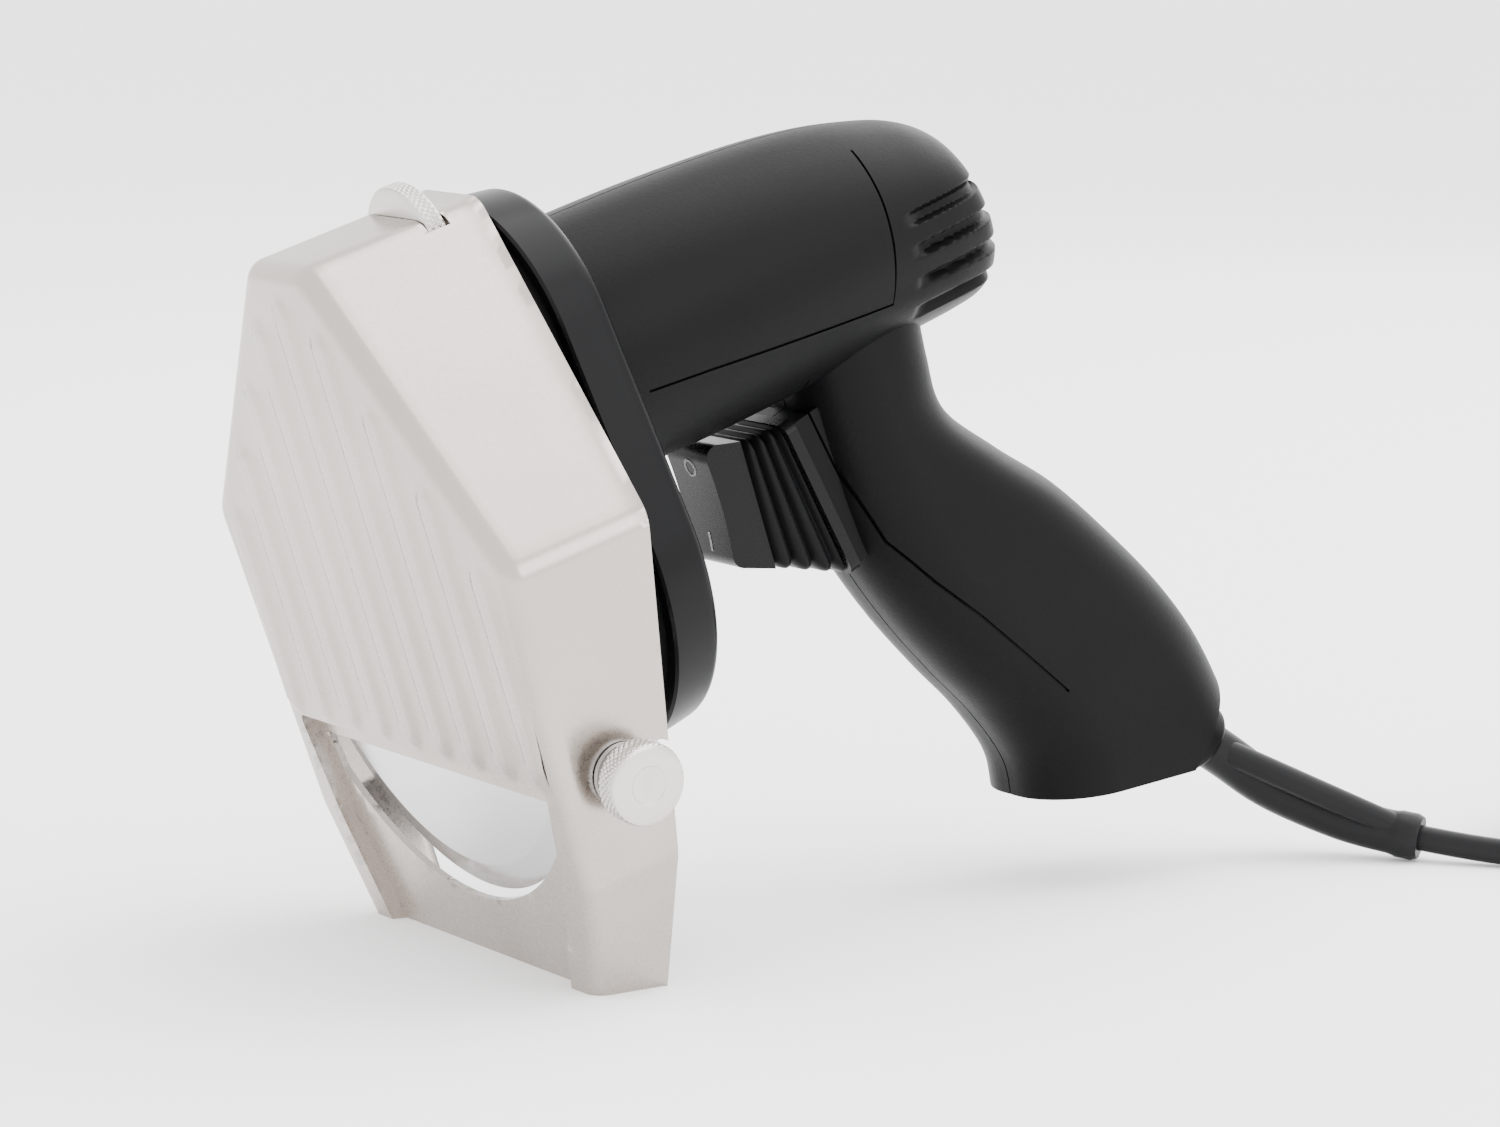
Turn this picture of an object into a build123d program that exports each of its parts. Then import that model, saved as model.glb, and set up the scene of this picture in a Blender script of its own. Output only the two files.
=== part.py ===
from build123d import *
import math
import os

# Electric slicer with a round blade, a ribbed steel guard and a pistol grip.
# The tool frame has its origin where the motor axis meets the rear face of the gear housing:
# X to the right side, Y along the motor axis to the rear, Z up the blade's plane.
# At the end the whole tool is pitched so that it stands on its guard and its cord sleeve.

# General clearances
cut_over = 1.0
touch_gap = 0.3
run_gap = 0.05
slide_gap = 0.25

# Share of the shorter run that a cord's bend may use
bend_run_share = 0.45

# Gears
gear_module = 1.0
pinion_teeth = 14
wheel_teeth = 56
pressure_angle = 20.0
addendum_share = 0.8
dedendum_share = 1.0
backlash = 0.12
flank_shares = (0.0, 0.35, 0.7, 1.0)
gear_width = 5.5
gear_rim_depth = 3.0
web_holes = 6
web_hole_radius = 3.57
blade_drop = gear_module * (pinion_teeth + wheel_teeth) / 2

# Gear housing and its front cover
crown_rise = 6.0
crown_radius = 25.9
lobe_radius = 34.7
housing_depth = 10.5
housing_draft = 7.5
housing_wall = 3.5
cover_inset = 1.5
cover_plate = 3.0
cover_wall = 3.0
lobe_depth = 16.5
cover_screw_side_share = 0.7
cover_screw_rise_share = 0.68
chamber_front = -housing_depth
cover_front = chamber_front - cover_plate
lobe_front = chamber_front - lobe_depth
gear_back = -housing_wall - addendum_share * gear_module
gear_front = gear_back - gear_width

# Blade and spindle
blade_radius = 50.0
blade_thickness = 1.5
blade_plane = -42.5
bevel_width = 5.0
edge_thickness = 0.2
spindle_radius = 4.0
hub_radius = 6.0
flange_radius = 11.0
flange_thickness = 2.0
clamp_radius = 12.0
clamp_thickness = 1.2
blade_hole_radius = 2.0
screw_head_radius = 4.5
screw_head_height = 1.2
blade_screw_radius = 2.0
blade_screw_length = 8.8
blade_thread_depth = 11.0
bearing_radius = 11.0
bearing_width = 7.0
bush_radius = 7.0
bush_floor = 0.8
seal_radius = 7.0
seal_width = 2.0
race_share = 0.294
ball_sink_share = 0.45
ball_pitch_share = 2.6

# Guard
guard_wall = 1.2
guard_front = -48.0
guard_top = 34.5
guard_top_half = 10.5
guard_shoulder_x = 55.0
guard_shoulder_z = -16.0
guard_hip_x = 50.0
guard_hip_z = -75.0
guard_foot_x = 41.5
guard_foot_z = -96.5
guard_bend = 6.0
guard_fold = 3.5
guard_rear_top = -11.0
guard_rear_lean = 9.5
guard_travel = 8.0
rib_count = 9
rib_pitch = 11.4
rib_width = 7.0
rib_height = 0.8
window_top = -56.5
window_half = 46.0
window_rail = 8.5
tray_depth = 2.8
crescent_radius = 53.9
crescent_rise = 3.2
crescent_side = 4.0

# Thickness wheel and its stud
wheel_radius = 13.0
wheel_width = 4.0
wheel_mid = -20.5
wheel_out = 5.3
stud_radius = 2.5
stud_length = 20.0
stud_boss_radius = 4.8
stud_boss_length = 4.0

# Bracket and lock knobs
bracket_plate = 2.0
bracket_ring = 20.0
bracket_arm = 14.0
bracket_screw_circle = 15.86
tab_width = 10.0
tab_wall = 1.8
knob_drop = 22.0
knob_y = -36.0
knob_radius = 7.3
knob_height = 5.3
knob_neck_radius = 4.6
knob_neck_height = 2.3
knob_shank_radius = 2.5
washer_radius = 5.6
washer_thickness = 1.0
nut_radius = 4.6
nut_height = 3.6
knob_pitch = 0.8
knob_turns = 2.0

# Barrel: stations along Y with centre height and radius
barrel_radius = 24.0
barrel_length = 89.0
barrel_wall = 2.4
body_steps = 2
barrel_y_shares = (0.0, 0.27, 0.51, 0.67, 0.79, 0.88, 0.945, 0.985, 1.0)
barrel_r_shares = (1.0, 1.0, 0.96, 0.905, 0.845, 0.78, 0.68, 0.5, 0.36)
barrel_z_shares = (0.0, 0.0, 0.0, -0.012, -0.05, -0.095, -0.16, -0.24, -0.25)
vent_count = 4
vent_pitch = 6.0
vent_height = 1.6
vent_top = 3.0
vent_depth = 9.0

# Grip: horizontal sections from the barrel down to the toe
grip_length = 125.0
grip_depth = 48.0
grip_half_width = 17.5
grip_wall = 2.4
grip_z_shares = (-0.1, -0.2, -0.29, -0.38, -0.47, -0.58, -0.68, -0.77, -0.86, -0.93, -1.0)
grip_front_shares = (0.88, 0.88, 0.885, 0.9, 0.94, 1.05, 1.18, 1.31, 1.395, 1.385, 1.36)
grip_rear_shares = (1.5, 1.47, 1.48, 1.66, 1.87, 2.06, 2.21, 2.31, 2.37, 2.39, 2.37)
grip_width_shares = (0.8, 0.86, 0.88, 0.92, 0.97, 1.0, 1.0, 1.0, 0.97, 0.95, 0.9)
grip_corner_share = 0.86
toe_y = 60.0
toe_z = -113.5
heel_y = 103.0
heel_z = -121.5

# Cord exit
exit_y = 104.6
exit_z = -114.8
exit_angle = 49.2
collar_radius = 8.4
collar_end_radius = 6.6
collar_length = 10.8
collar_round = 1.6
socket_radius = 6.5
socket_depth = 8.0
sleeve_radius = 4.5
cable_radius = 2.5

# Rocker switch
switch_y = 40.6
switch_z = -41.7
switch_lean = 10.5
bezel_height = 32.0
bezel_width = 19.0
bezel_thickness = 2.2
seat_depth = 6.0
switch_height = 26.0
switch_width = 13.0
switch_depth = 17.0
terminal_length = 4.8
terminal_thickness = 0.6
rocker_width = 14.0
rocker_front = 19.3
rocker_rear = 27.4
rocker_top = -24.2
rocker_low = -47.8
rocker_rear_top = -26.3
rocker_rear_low = -51.2
rocker_dish = 0.8
rocker_round = 2.5
rocker_range = 16.0
hinge_y = 31.0
hinge_z = -38.0
stem_width = 5.0
stem_height = 6.0
trunnion_radius = 1.0
trunnion_reach = 1.2
ear_wall = 1.6
ear_height = 7.0
fold_count = 3
fold_thickness = 1.6
fold_width = 16.4
fold_wall = 1.2
fold_over = 1.6
boot_through_share = 0.08

# Motor
motor_radius = 18.0
motor_wall = 1.2
motor_length = 50.0
motor_bush = 4.0
spigot_length = 5.0
nose_radius = 7.0
shaft_radius = 2.0
magnet_thickness = 3.0
core_radius = 13.2
core_length = 30.0
slot_count = 7
slot_width = 3.4
slot_depth = 6.5
winding_over = 5.0
winding_rear = 3.0
commutator_radius = 5.5
commutator_length = 8.0
brush_width = 4.0
brush_length = 7.0
fan_radius = 13.5
fan_width = 6.0
fan_blades = 9
fan_disc = 1.0
cap_vents = 6
cap_vent_radius = 2.0
spring_turns = 4

# Fasteners
boss_radius = 3.2
boss_bore = 1.25
screw_radius = 1.2
head_radius = 2.5
head_height = 1.6
screw_slot_length = 3.25
boss_places_shares = ((1.36, -0.26), (1.62, 0.05), (1.13, -0.5), (1.6, -0.86))

# Electrics in the grip
board_height = 30.0
board_depth = 20.0
board_thickness = 1.6
board_x = -4.0
board_y = 77.0
board_z = -72.0
capacitor_size = 12.0
rectifier_height = 8.0
wire_radius = 0.9
board_lean = 20.0
pad_radius = 2.4
motor_lead_right = [
    (6.0, 53.5, -14.5),
    (6.0, 57.5, -17.5),
    (5.0, 60.6, -25.0),
    (5.0, 60.6, -41.0),
    (1.5, 65.0, -51.0),
    (-2.3, 68.5, -60.0),
]
motor_lead_left = [
    (-6.0, 53.5, -14.5),
    (-6.0, 57.5, -17.5),
    (-5.0, 60.6, -25.0),
    (-5.0, 60.6, -41.0),
    (-3.5, 69.0, -51.0),
    (-2.3, 75.9, -58.2),
]
switch_lead = [
    (0.0, 63.1, -37.9),
    (0.0, 65.2, -41.8),
    (-1.0, 69.0, -50.0),
    (-2.3, 72.2, -59.1),
]
live_core = [
    (1.1, 92.8, -101.2),
    (1.1, 89.5, -97.4),
    (4.4, 80.0, -82.0),
    (4.4, 71.0, -66.0),
    (1.5, 66.2, -54.5),
    (0.0, 64.9, -46.5),
]
neutral_core = [
    (-1.1, 92.8, -101.2),
    (-1.1, 89.5, -97.4),
    (-2.0, 84.6, -91.0),
    (-2.3, 81.9, -85.3),
]
lead_routes = [motor_lead_right, motor_lead_left, switch_lead, live_core, neutral_core]
cord_clamp_width = 14.0
cord_clamp_height = 5.0
clamp_post = 4.0
clamp_plate = 2.0

# Standing pose and origin
rest_pitch = 17.87
floor_drop = 106.0

# Free cord, in the standing frame and relative to the tool's own origin over the floor
coil_mid_radius = 28.6
coil_columns = 3
coil_layers = 4
plug_length = 36.0
plug_width = 26.0
plug_height = 13.7
plug_neck = 12.0
plug_mouth_radius = 3.75
pin_radius = 2.0
pin_length = 19.0
pin_spacing = 19.0
sleeve_run = 6.0
sleeve_route = [
    (2.5, 156.8, 13.9),
    (8.0, 164.8, 9.4),
    (15.8, 171.6, 6.1),
    (24.5, 178.6, 4.6),
]
cord_route = [
    (24.5, 178.6, 4.6),
    (33.2, 185.6, 3.1),
    (43.3, 193.8, 2.6),
    (53.4, 202.1, 2.5),
    (62.7, 209.9, 2.6),
]
coil_place = (42.0, 236.0)
tail_route = [
    (58.7, 264.9, 17.4),
    (48.3, 270.9, 17.3),
    (36.5, 276.2, 14.0),
    (24.3, 280.6, 9.8),
    (14.7, 283.4, 6.85),
    (6.0, 285.7, 6.85),
]


def between(start, end, share):
    """Point at a share of the way between two flat points."""
    return (start[0] + share * (end[0] - start[0]), start[1] + share * (end[1] - start[1]))


def prism_y(sketch, y_low, y_high):
    """Solid over a sketch of the XZ plane, from y_low to y_high."""
    return extrude(Plane.XZ.offset(-y_high) * sketch, amount=y_high - y_low, dir=(0, -1, 0))


def prism_x(sketch, x_low, x_high):
    """Solid over a sketch of the YZ plane, from x_low to x_high."""
    return extrude(Plane.YZ.offset(x_low) * sketch, amount=x_high - x_low, dir=(1, 0, 0))


def rod_y(radius, y_low, y_high, x=0, z=0):
    """Round bar along Y."""
    return prism_y(Pos(x, z) * Circle(radius), y_low, y_high)


def rod_x(radius, x_low, x_high, y=0, z=0):
    """Round bar along X."""
    return prism_x(Pos(y, z) * Circle(radius), x_low, x_high)


def ring_y(outer, inner, y_low, y_high, x=0, z=0):
    """Tube along Y."""
    return prism_y(Pos(x, z) * (Circle(outer) - Circle(inner)), y_low, y_high)


def corner_radii(points):
    """Largest tangent arcs that the runs on both sides of each corner allow."""
    radii = []
    for before, here, after in zip(points, points[1:], points[2:]):
        first = Vector(*here) - Vector(*before)
        second = Vector(*after) - Vector(*here)
        turn = math.radians(first.get_angle(second))
        radii.append(bend_run_share * min(first.length, second.length) / math.tan(turn / 2))
    return radii


def swept(points, radius):
    """Round bar along straight runs joined by tangent arcs."""
    path = FilletPolyline(*points, radius=corner_radii(points))
    return sweep(Plane(path @ 0, z_dir=path % 0) * Circle(radius), path=path)


def tube(name, points, radius):
    """Free cord, with its facts printed: length, bend radii and a test of its volume."""
    solid = swept(points, radius)
    length = FilletPolyline(*points, radius=corner_radii(points)).length
    print(name, "length", round(length, 1), "radii", [round(value, 1) for value in corner_radii(points)],
          "volume", round(solid.volume), "section x length", round(math.pi * radius ** 2 * length))
    return solid


def lobed_outline(inset):
    """Two circles joined by their outer tangents, the outline of the gear housing."""
    upper = crown_radius - inset
    lower = lobe_radius - inset
    gap = crown_rise + blade_drop
    lean = math.asin((lower - upper) / gap)
    nx = math.cos(lean)
    nz = math.sin(lean)
    top = (upper * nx, crown_rise + upper * nz)
    low = (lower * nx, -blade_drop + lower * nz)
    waist = Polygon(top, (-top[0], top[1]), (-low[0], low[1]), low, align=None)
    return Pos(0, crown_rise) * Circle(upper) + Pos(0, -blade_drop) * Circle(lower) + waist


def gear_outline(teeth, first_angle):
    """Involute gear outline with one tooth centred on first_angle, in degrees."""
    pitch = gear_module * teeth / 2
    base = pitch * math.cos(math.radians(pressure_angle))
    outer = pitch + addendum_share * gear_module
    root = pitch - dedendum_share * gear_module
    alpha = math.radians(pressure_angle)
    half = math.pi / (2 * teeth) - backlash / (4 * pitch) + math.tan(alpha) - alpha
    steps = [max(base, root) + (outer - max(base, root)) * share for share in flank_shares]

    def half_angle(radius):
        slope = math.acos(min(1.0, base / radius))
        return half - (math.tan(slope) - slope)

    points = []
    for tooth in range(teeth):
        middle = math.radians(first_angle) + 2 * math.pi * tooth / teeth
        flank = [(root, half_angle(steps[0]))] + [(radius, half_angle(radius)) for radius in steps]
        if root >= base:
            flank = flank[1:]
        for radius, angle in flank:
            points.append((radius * math.cos(middle - angle), radius * math.sin(middle - angle)))
        for radius, angle in reversed(flank):
            points.append((radius * math.cos(middle + angle), radius * math.sin(middle + angle)))
    return Polygon(*points, align=None)


def cover_screw_places():
    """Places of the screws that join the gear housing and its cover."""
    upper = crown_radius - cover_inset - cover_wall
    side = upper + cover_wall - head_radius
    across = cover_screw_side_share * upper
    high = crown_rise + cover_screw_rise_share * upper
    return [(-across, high), (across, high), (-side, -crown_rise), (side, -crown_rise)]


def build_gear_housing():
    body = extrude(Plane.XZ * lobed_outline(0), amount=housing_depth, taper=-housing_draft)
    body = body - prism_y(lobed_outline(cover_inset + cover_wall), chamber_front - cut_over, -housing_wall)
    body = body + ring_y(bush_radius + cover_wall, bush_radius, gear_back + touch_gap,
                         -housing_wall, z=-blade_drop)
    body = body - rod_y(bush_radius, -housing_wall - cut_over, -bush_floor, z=-blade_drop)
    spigot = barrel_radius - barrel_wall - slide_gap
    body = body + ring_y(spigot, motor_radius + slide_gap, 0, spigot_length)
    body = body - rod_y(nose_radius + slide_gap, -housing_wall - cut_over, cut_over)
    for x, z in cover_screw_places():
        boss = rod_y(boss_radius, chamber_front, -housing_wall, x, z)
        body = body + (boss & prism_y(lobed_outline(cover_inset), chamber_front, 0))
        body = body - rod_y(boss_bore, chamber_front - cut_over, -housing_wall, x, z)
    for x in motor_screw_places():
        body = body - rod_y(screw_radius + slide_gap, -housing_wall - cut_over, cut_over, x)
    return body


def motor_screw_places():
    middle = (nose_radius + motor_radius) / 2
    return [-middle, middle]


def stud_height():
    return guard_top + wheel_out - wheel_radius


def build_gear_cover():
    outer = lobed_outline(cover_inset)
    lobe = lobe_radius - cover_inset
    body = prism_y(outer, cover_front, chamber_front)
    body = body + rod_y(lobe, lobe_front, chamber_front, z=-blade_drop)
    body = body - rod_y(lobe - cover_wall, lobe_front + cover_wall, chamber_front + cut_over, z=-blade_drop)
    seat = lobe_front + cover_wall
    body = body + ring_y(bearing_radius + cover_wall, bearing_radius, seat, seat + bearing_width,
                         z=-blade_drop)
    body = body - rod_y(spindle_radius + 2 * touch_gap, lobe_front - cut_over, seat + cut_over, z=-blade_drop)
    body = body - rod_y(seal_radius, lobe_front - cut_over, lobe_front + seal_width, z=-blade_drop)
    for x, z in cover_screw_places():
        body = body - rod_y(screw_radius + slide_gap, cover_front - cut_over, chamber_front + cut_over, x, z)
    stud_boss = rod_y(stud_boss_radius, cover_front - stud_boss_length, chamber_front, z=stud_height())
    body = body + stud_boss - rod_y(stud_radius, lobe_front, chamber_front + cut_over, z=stud_height())
    for x, z in bracket_screw_places():
        body = body - rod_y(boss_bore, lobe_front - cut_over, seat, x, z)
    return body


def bracket_screw_places():
    side = bracket_screw_circle * math.sqrt(0.5)
    return [(sx * side, -blade_drop + sz * side) for sx in (-1, 1) for sz in (-1, 1)]


def pan_screws(places, seat, length):
    """Screws with round heads in front of the plane y = seat, shanks to the rear."""
    solids = []
    for x, z in places:
        shank = rod_y(boss_bore, seat, seat + length, x, z)
        head = rod_y(head_radius, seat - head_height, seat, x, z)
        outline = Pos(x, z) * Rectangle(screw_slot_length, head_height / 3)
        slot = prism_y(outline, seat - head_height - cut_over,
                       seat - head_height / 2)
        solids.append(shank + head - slot)
    return Compound(children=solids)


def build_cover_screws():
    return pan_screws(cover_screw_places(), cover_front, cover_plate + housing_depth - housing_wall)


def build_bracket_screws():
    return pan_screws(bracket_screw_places(), lobe_front - bracket_plate, bracket_plate + cover_wall)


def build_stud():
    return rod_y(stud_radius, cover_front - stud_length, chamber_front, z=stud_height())


# Blade drive
def build_drive_gear():
    teeth = prism_y(gear_outline(wheel_teeth, 90), gear_front, gear_back)
    rim = gear_module * wheel_teeth / 2 - gear_rim_depth
    web = ring_y(rim, bearing_radius, gear_front - cut_over, gear_front + gear_width / 3)
    teeth = teeth - web
    hole = rod_y(web_hole_radius, gear_front - cut_over, gear_back + cut_over, (rim + bearing_radius) / 2)
    for turn in range(web_holes):
        teeth = teeth - Rot(0, 360 * turn / web_holes, 0) * hole
    bore = rod_y(spindle_radius, gear_front - cut_over, gear_back + cut_over)
    key = prism_y(Pos(0, spindle_radius) * Rectangle(spindle_radius / 2, spindle_radius / 2),
                  gear_front - cut_over, gear_back + cut_over)
    return Pos(0, 0, -blade_drop) * (teeth - bore - key)


def build_gear_key():
    key = prism_y(Pos(0, spindle_radius) * Rectangle(spindle_radius / 2, spindle_radius / 2),
                  gear_front, gear_back)
    return Pos(0, 0, -blade_drop) * key


def build_spindle():
    rear_end = -bush_floor - touch_gap
    back_face = blade_plane + blade_thickness / 2
    front_end = blade_plane - blade_thickness / 2
    body = rod_y(spindle_radius, front_end, rear_end)
    body = body + rod_y(hub_radius, back_face, lobe_front - bracket_plate - touch_gap * 3)
    body = body + rod_y(flange_radius, back_face, back_face + flange_thickness)
    body = body - prism_y(Pos(0, spindle_radius) * Rectangle(spindle_radius / 2, spindle_radius / 2),
                          gear_front, gear_back)
    body = body - rod_y(blade_screw_radius, front_end - cut_over, front_end + blade_thread_depth)
    return Pos(0, 0, -blade_drop) * body


def build_blade():
    half = blade_thickness / 2
    edge = edge_thickness / 2
    inner = [(spindle_radius, half), (spindle_radius, -half)]
    outer = [(blade_radius - bevel_width, -half), (blade_radius, half - 2 * edge), (blade_radius, half)]
    profile = Polygon(*inner, *outer, align=None)
    disc = revolve(Plane.XY * profile, Axis.Y)
    for side in (-1, 1):
        hole = rod_y(blade_hole_radius, -cut_over - half, cut_over + half, side * blade_radius / 2)
        disc = disc - hole
    return Pos(0, blade_plane, -blade_drop) * disc


def build_clamp_disc():
    front = blade_plane - blade_thickness / 2
    disc = ring_y(clamp_radius, spindle_radius, front - clamp_thickness, front)
    return Pos(0, 0, -blade_drop) * disc


def build_blade_screw():
    front = blade_plane - blade_thickness / 2
    seat = front - clamp_thickness
    head = rod_y(screw_head_radius, seat - screw_head_height, seat)
    shank = rod_y(blade_screw_radius, seat, front + blade_screw_length)
    socket = prism_y(RegularPolygon(screw_head_radius / 2, 6), seat - screw_head_height - cut_over,
                     seat - 2 * edge_thickness)
    return Pos(0, 0, -blade_drop) * (head + shank - socket)


def ball_bearing(outer, inner, y_low, width):
    """Two races and a ring of balls, separate solids of one bearing."""
    wall = (outer - inner) * race_share
    middle = (outer + inner) / 2
    ball = (outer - inner - 2 * wall) / 2 + wall * ball_sink_share
    groove = Pos(0, y_low + width / 2, 0) * Rot(90, 0, 0) * Torus(middle, ball)
    outer_race = ring_y(outer, outer - wall, y_low, y_low + width) - groove
    inner_race = ring_y(inner + wall, inner, y_low, y_low + width) - groove
    count = int(2 * math.pi * middle / (ball_pitch_share * ball))
    balls = []
    for place in range(count):
        angle = 2 * math.pi * place / count
        place = Pos(middle * math.cos(angle), y_low + width / 2, middle * math.sin(angle))
        balls.append(place * Sphere(ball))
    return Compound(children=[outer_race, inner_race] + balls)


def build_spindle_bearing():
    seat = lobe_front + cover_wall
    bearing = ball_bearing(bearing_radius, spindle_radius + run_gap, seat, bearing_width)
    return Pos(0, 0, -blade_drop) * bearing


def build_spindle_bush():
    bush = ring_y(bush_radius, spindle_radius + run_gap, gear_back + touch_gap, -bush_floor)
    return Pos(0, 0, -blade_drop) * bush


def build_spindle_seal():
    seal = ring_y(seal_radius, spindle_radius + run_gap, lobe_front, lobe_front + seal_width)
    return Pos(0, 0, -blade_drop) * seal


# Guard
def guard_outline(inset):
    corners = [(guard_top_half, guard_top), (guard_shoulder_x, guard_shoulder_z), (guard_hip_x, guard_hip_z),
               (guard_foot_x, guard_foot_z)]
    slope = (guard_foot_x - guard_hip_x) / (guard_foot_z - guard_hip_z)
    deep_z = guard_foot_z - guard_top
    deep_x = guard_foot_x + slope * (deep_z - guard_foot_z)
    corners.append((deep_x, deep_z))
    mirrored = [(-x, z) for x, z in reversed(corners)]
    face = Polygon(*corners, *mirrored, align=None)
    upper = [v for v in face.vertices() if v.Y > deep_z + guard_bend]
    face = fillet(upper, guard_bend)
    return offset(face, -inset, kind=Kind.INTERSECTION) if inset else face


def guard_form(inset):
    """Solid of the guard's outer or inner face, closed at the front and open behind."""
    front = guard_front + inset
    solid = prism_y(guard_outline(inset), front, 0)
    edges = solid.faces().sort_by(Axis.Y)[0].edges()
    return fillet(edges, guard_fold - inset)


def window_outline(inset):
    half = window_half - inset
    lower_z = guard_foot_z - guard_top
    slope = (guard_foot_x - guard_hip_x) / (guard_foot_z - guard_hip_z)
    hip = guard_hip_x - window_rail - inset
    low = guard_foot_x - window_rail + slope * (lower_z - guard_foot_z) - inset
    top = window_top - inset
    return Polygon((half, top), (hip, guard_hip_z), (low, lower_z), (-low, lower_z), (-hip, guard_hip_z),
                   (-half, top), align=None)


def floor_cutter():
    """Half space under the floor, given in the tool frame."""
    size = 8 * blade_radius
    block = Pos(0, 0, -floor_drop - size / 2) * Box(size, size, size)
    return Rot(-rest_pitch, 0, 0) * block


def rear_cutter():
    size = 8 * blade_radius
    block = Pos(0, size / 2, 0) * Box(size, size, size)
    return Pos(0, guard_rear_top, guard_top) * Rot(-guard_rear_lean, 0, 0) * block


def rib_top(x):
    """Height at which the rib at x ends under the sloping shoulder."""
    run = (guard_top - guard_shoulder_z) / (guard_shoulder_x - guard_top_half)
    reach = abs(x) + rib_width / 2
    slope_z = guard_top - max(0, reach - guard_top_half) * run
    return slope_z - guard_fold - rib_width


def build_ribs():
    low = window_top + guard_fold
    bars = []
    for index in range(rib_count):
        x = (index - (rib_count - 1) / 2) * rib_pitch
        high = rib_top(x)
        bar = Pos(x, (low + high) / 2) * Rectangle(rib_width, high - low)
        bar = bar + Pos(x, high) * Circle(rib_width / 2) + Pos(x, low) * Circle(rib_width / 2 - cut_over)
        bars.append(prism_y(bar, guard_front - rib_height, guard_front + guard_wall / 2))
    return bars


def knob_plane(side):
    """Plane on the guard's outer wall at the lock knob, its Z outwards."""
    dz = -blade_drop - knob_drop - guard_shoulder_z
    share = dz / (guard_hip_z - guard_shoulder_z)
    x = guard_shoulder_x + share * (guard_hip_x - guard_shoulder_x)
    lean = math.atan2(guard_shoulder_x - guard_hip_x, guard_shoulder_z - guard_hip_z)
    return Plane(origin=(side * x, knob_y, -blade_drop - knob_drop), x_dir=(0, 1, 0),
                 z_dir=(side * math.cos(lean), 0, -math.sin(lean)))


def build_guard():
    shell = guard_form(0) - guard_form(guard_wall)
    shell = shell - prism_y(window_outline(0), guard_front - cut_over, guard_front + guard_wall + touch_gap)
    depth = tray_depth + guard_wall
    tray = prism_y(window_outline(0), guard_front, guard_front + depth)
    tray = tray - prism_y(window_outline(guard_wall), guard_front - cut_over, guard_front + tray_depth)
    tray = tray & guard_form(0)
    crescent = rod_y(crescent_radius, guard_front + tray_depth - touch_gap, guard_front + depth + cut_over,
                     z=-blade_drop + crescent_rise)
    tray = tray - (crescent & prism_y(window_outline(crescent_side), guard_front, blade_plane))
    shell = shell + tray
    for bar in build_ribs():
        shell = shell + bar
    shell = shell - rear_cutter() - floor_cutter()
    slot_half = wheel_width / 2 + slide_gap
    shell = shell - rod_y(wheel_radius + 2 * slide_gap, wheel_mid - slot_half, wheel_mid + slot_half,
                          z=stud_height())
    for side in (-1, 1):
        plane = knob_plane(side)
        length = guard_travel + 2 * (knob_shank_radius + slide_gap)
        hole = Pos(guard_travel / 2, 0) * SlotOverall(length, 2 * (knob_shank_radius + slide_gap))
        shell = shell - extrude(plane * hole, amount=4 * guard_wall, both=True)
    return shell


def build_wheel():
    z = stud_height()
    disc = rod_y(wheel_radius, wheel_mid - wheel_width / 2, wheel_mid + wheel_width / 2)
    disc = chamfer(disc.edges(), edge_thickness * 2)
    bore = rod_y(stud_radius + run_gap, wheel_mid - wheel_width, wheel_mid + wheel_width)
    return Pos(0, 0, z) * (disc - bore)


def build_bracket():
    back = lobe_front
    front = back - bracket_plate
    plane = knob_plane(1)
    arm_x = plane.origin.X - guard_wall - slide_gap - tab_wall / 2
    arm_z = plane.origin.Z
    plate = Pos(0, -blade_drop) * Circle(bracket_ring) + Pos(0, arm_z) * Rectangle(2 * arm_x, bracket_arm)
    body = prism_y(plate, front, back)
    body = body - rod_y(hub_radius + 2 * touch_gap, front - cut_over, back + cut_over, z=-blade_drop)
    for x, z in bracket_screw_places():
        body = body - rod_y(boss_bore + slide_gap, front - cut_over, back + cut_over, x, z)
    for side in (-1, 1):
        local = knob_plane(side)
        middle = (back + knob_y - tab_width / 2) / 2
        length = back - (knob_y - tab_width / 2)
        outer = -guard_wall - slide_gap
        tab = Pos(middle - knob_y, 0, outer - tab_wall / 2) * Box(length, bracket_arm, tab_wall)
        hole = Pos(0, 0, outer - tab_wall) * Cylinder(knob_shank_radius + slide_gap, 4 * tab_wall)
        body = body + local.location * tab - local.location * hole
    return body


def build_nuts():
    solids = []
    for side in (-1, 1):
        outer = -guard_wall - slide_gap - tab_wall
        block = extrude(RegularPolygon(nut_radius, 6), nut_height / 2, both=True)
        nut = Pos(0, 0, outer - nut_height / 2) * block
        bore = Pos(0, 0, outer) * Cylinder(knob_shank_radius + run_gap, 4 * nut_height)
        solids.append(knob_plane(side).location * (nut - bore))
    return Compound(children=solids)


def build_washer(side):
    disc = Cylinder(washer_radius, washer_thickness)
    washer = disc - Cylinder(knob_shank_radius + run_gap, washer_thickness * 2)
    return knob_plane(side).location * Pos(0, 0, touch_gap + washer_thickness / 2) * washer


def build_knob(side):
    seat = touch_gap + washer_thickness + run_gap
    inner = -guard_wall - slide_gap - tab_wall - nut_height - cut_over
    shank = Pos(0, 0, (seat + inner) / 2) * Cylinder(knob_shank_radius, seat - inner)
    neck = Pos(0, 0, seat + knob_neck_height / 2) * Cylinder(knob_neck_radius, knob_neck_height)
    head = Pos(0, 0, seat + knob_neck_height + knob_height / 2) * Cylinder(knob_radius, knob_height)
    head = chamfer(head.edges().filter_by(GeomType.CIRCLE), edge_thickness * 2)
    return knob_plane(side).location * (shank + neck + head)


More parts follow.
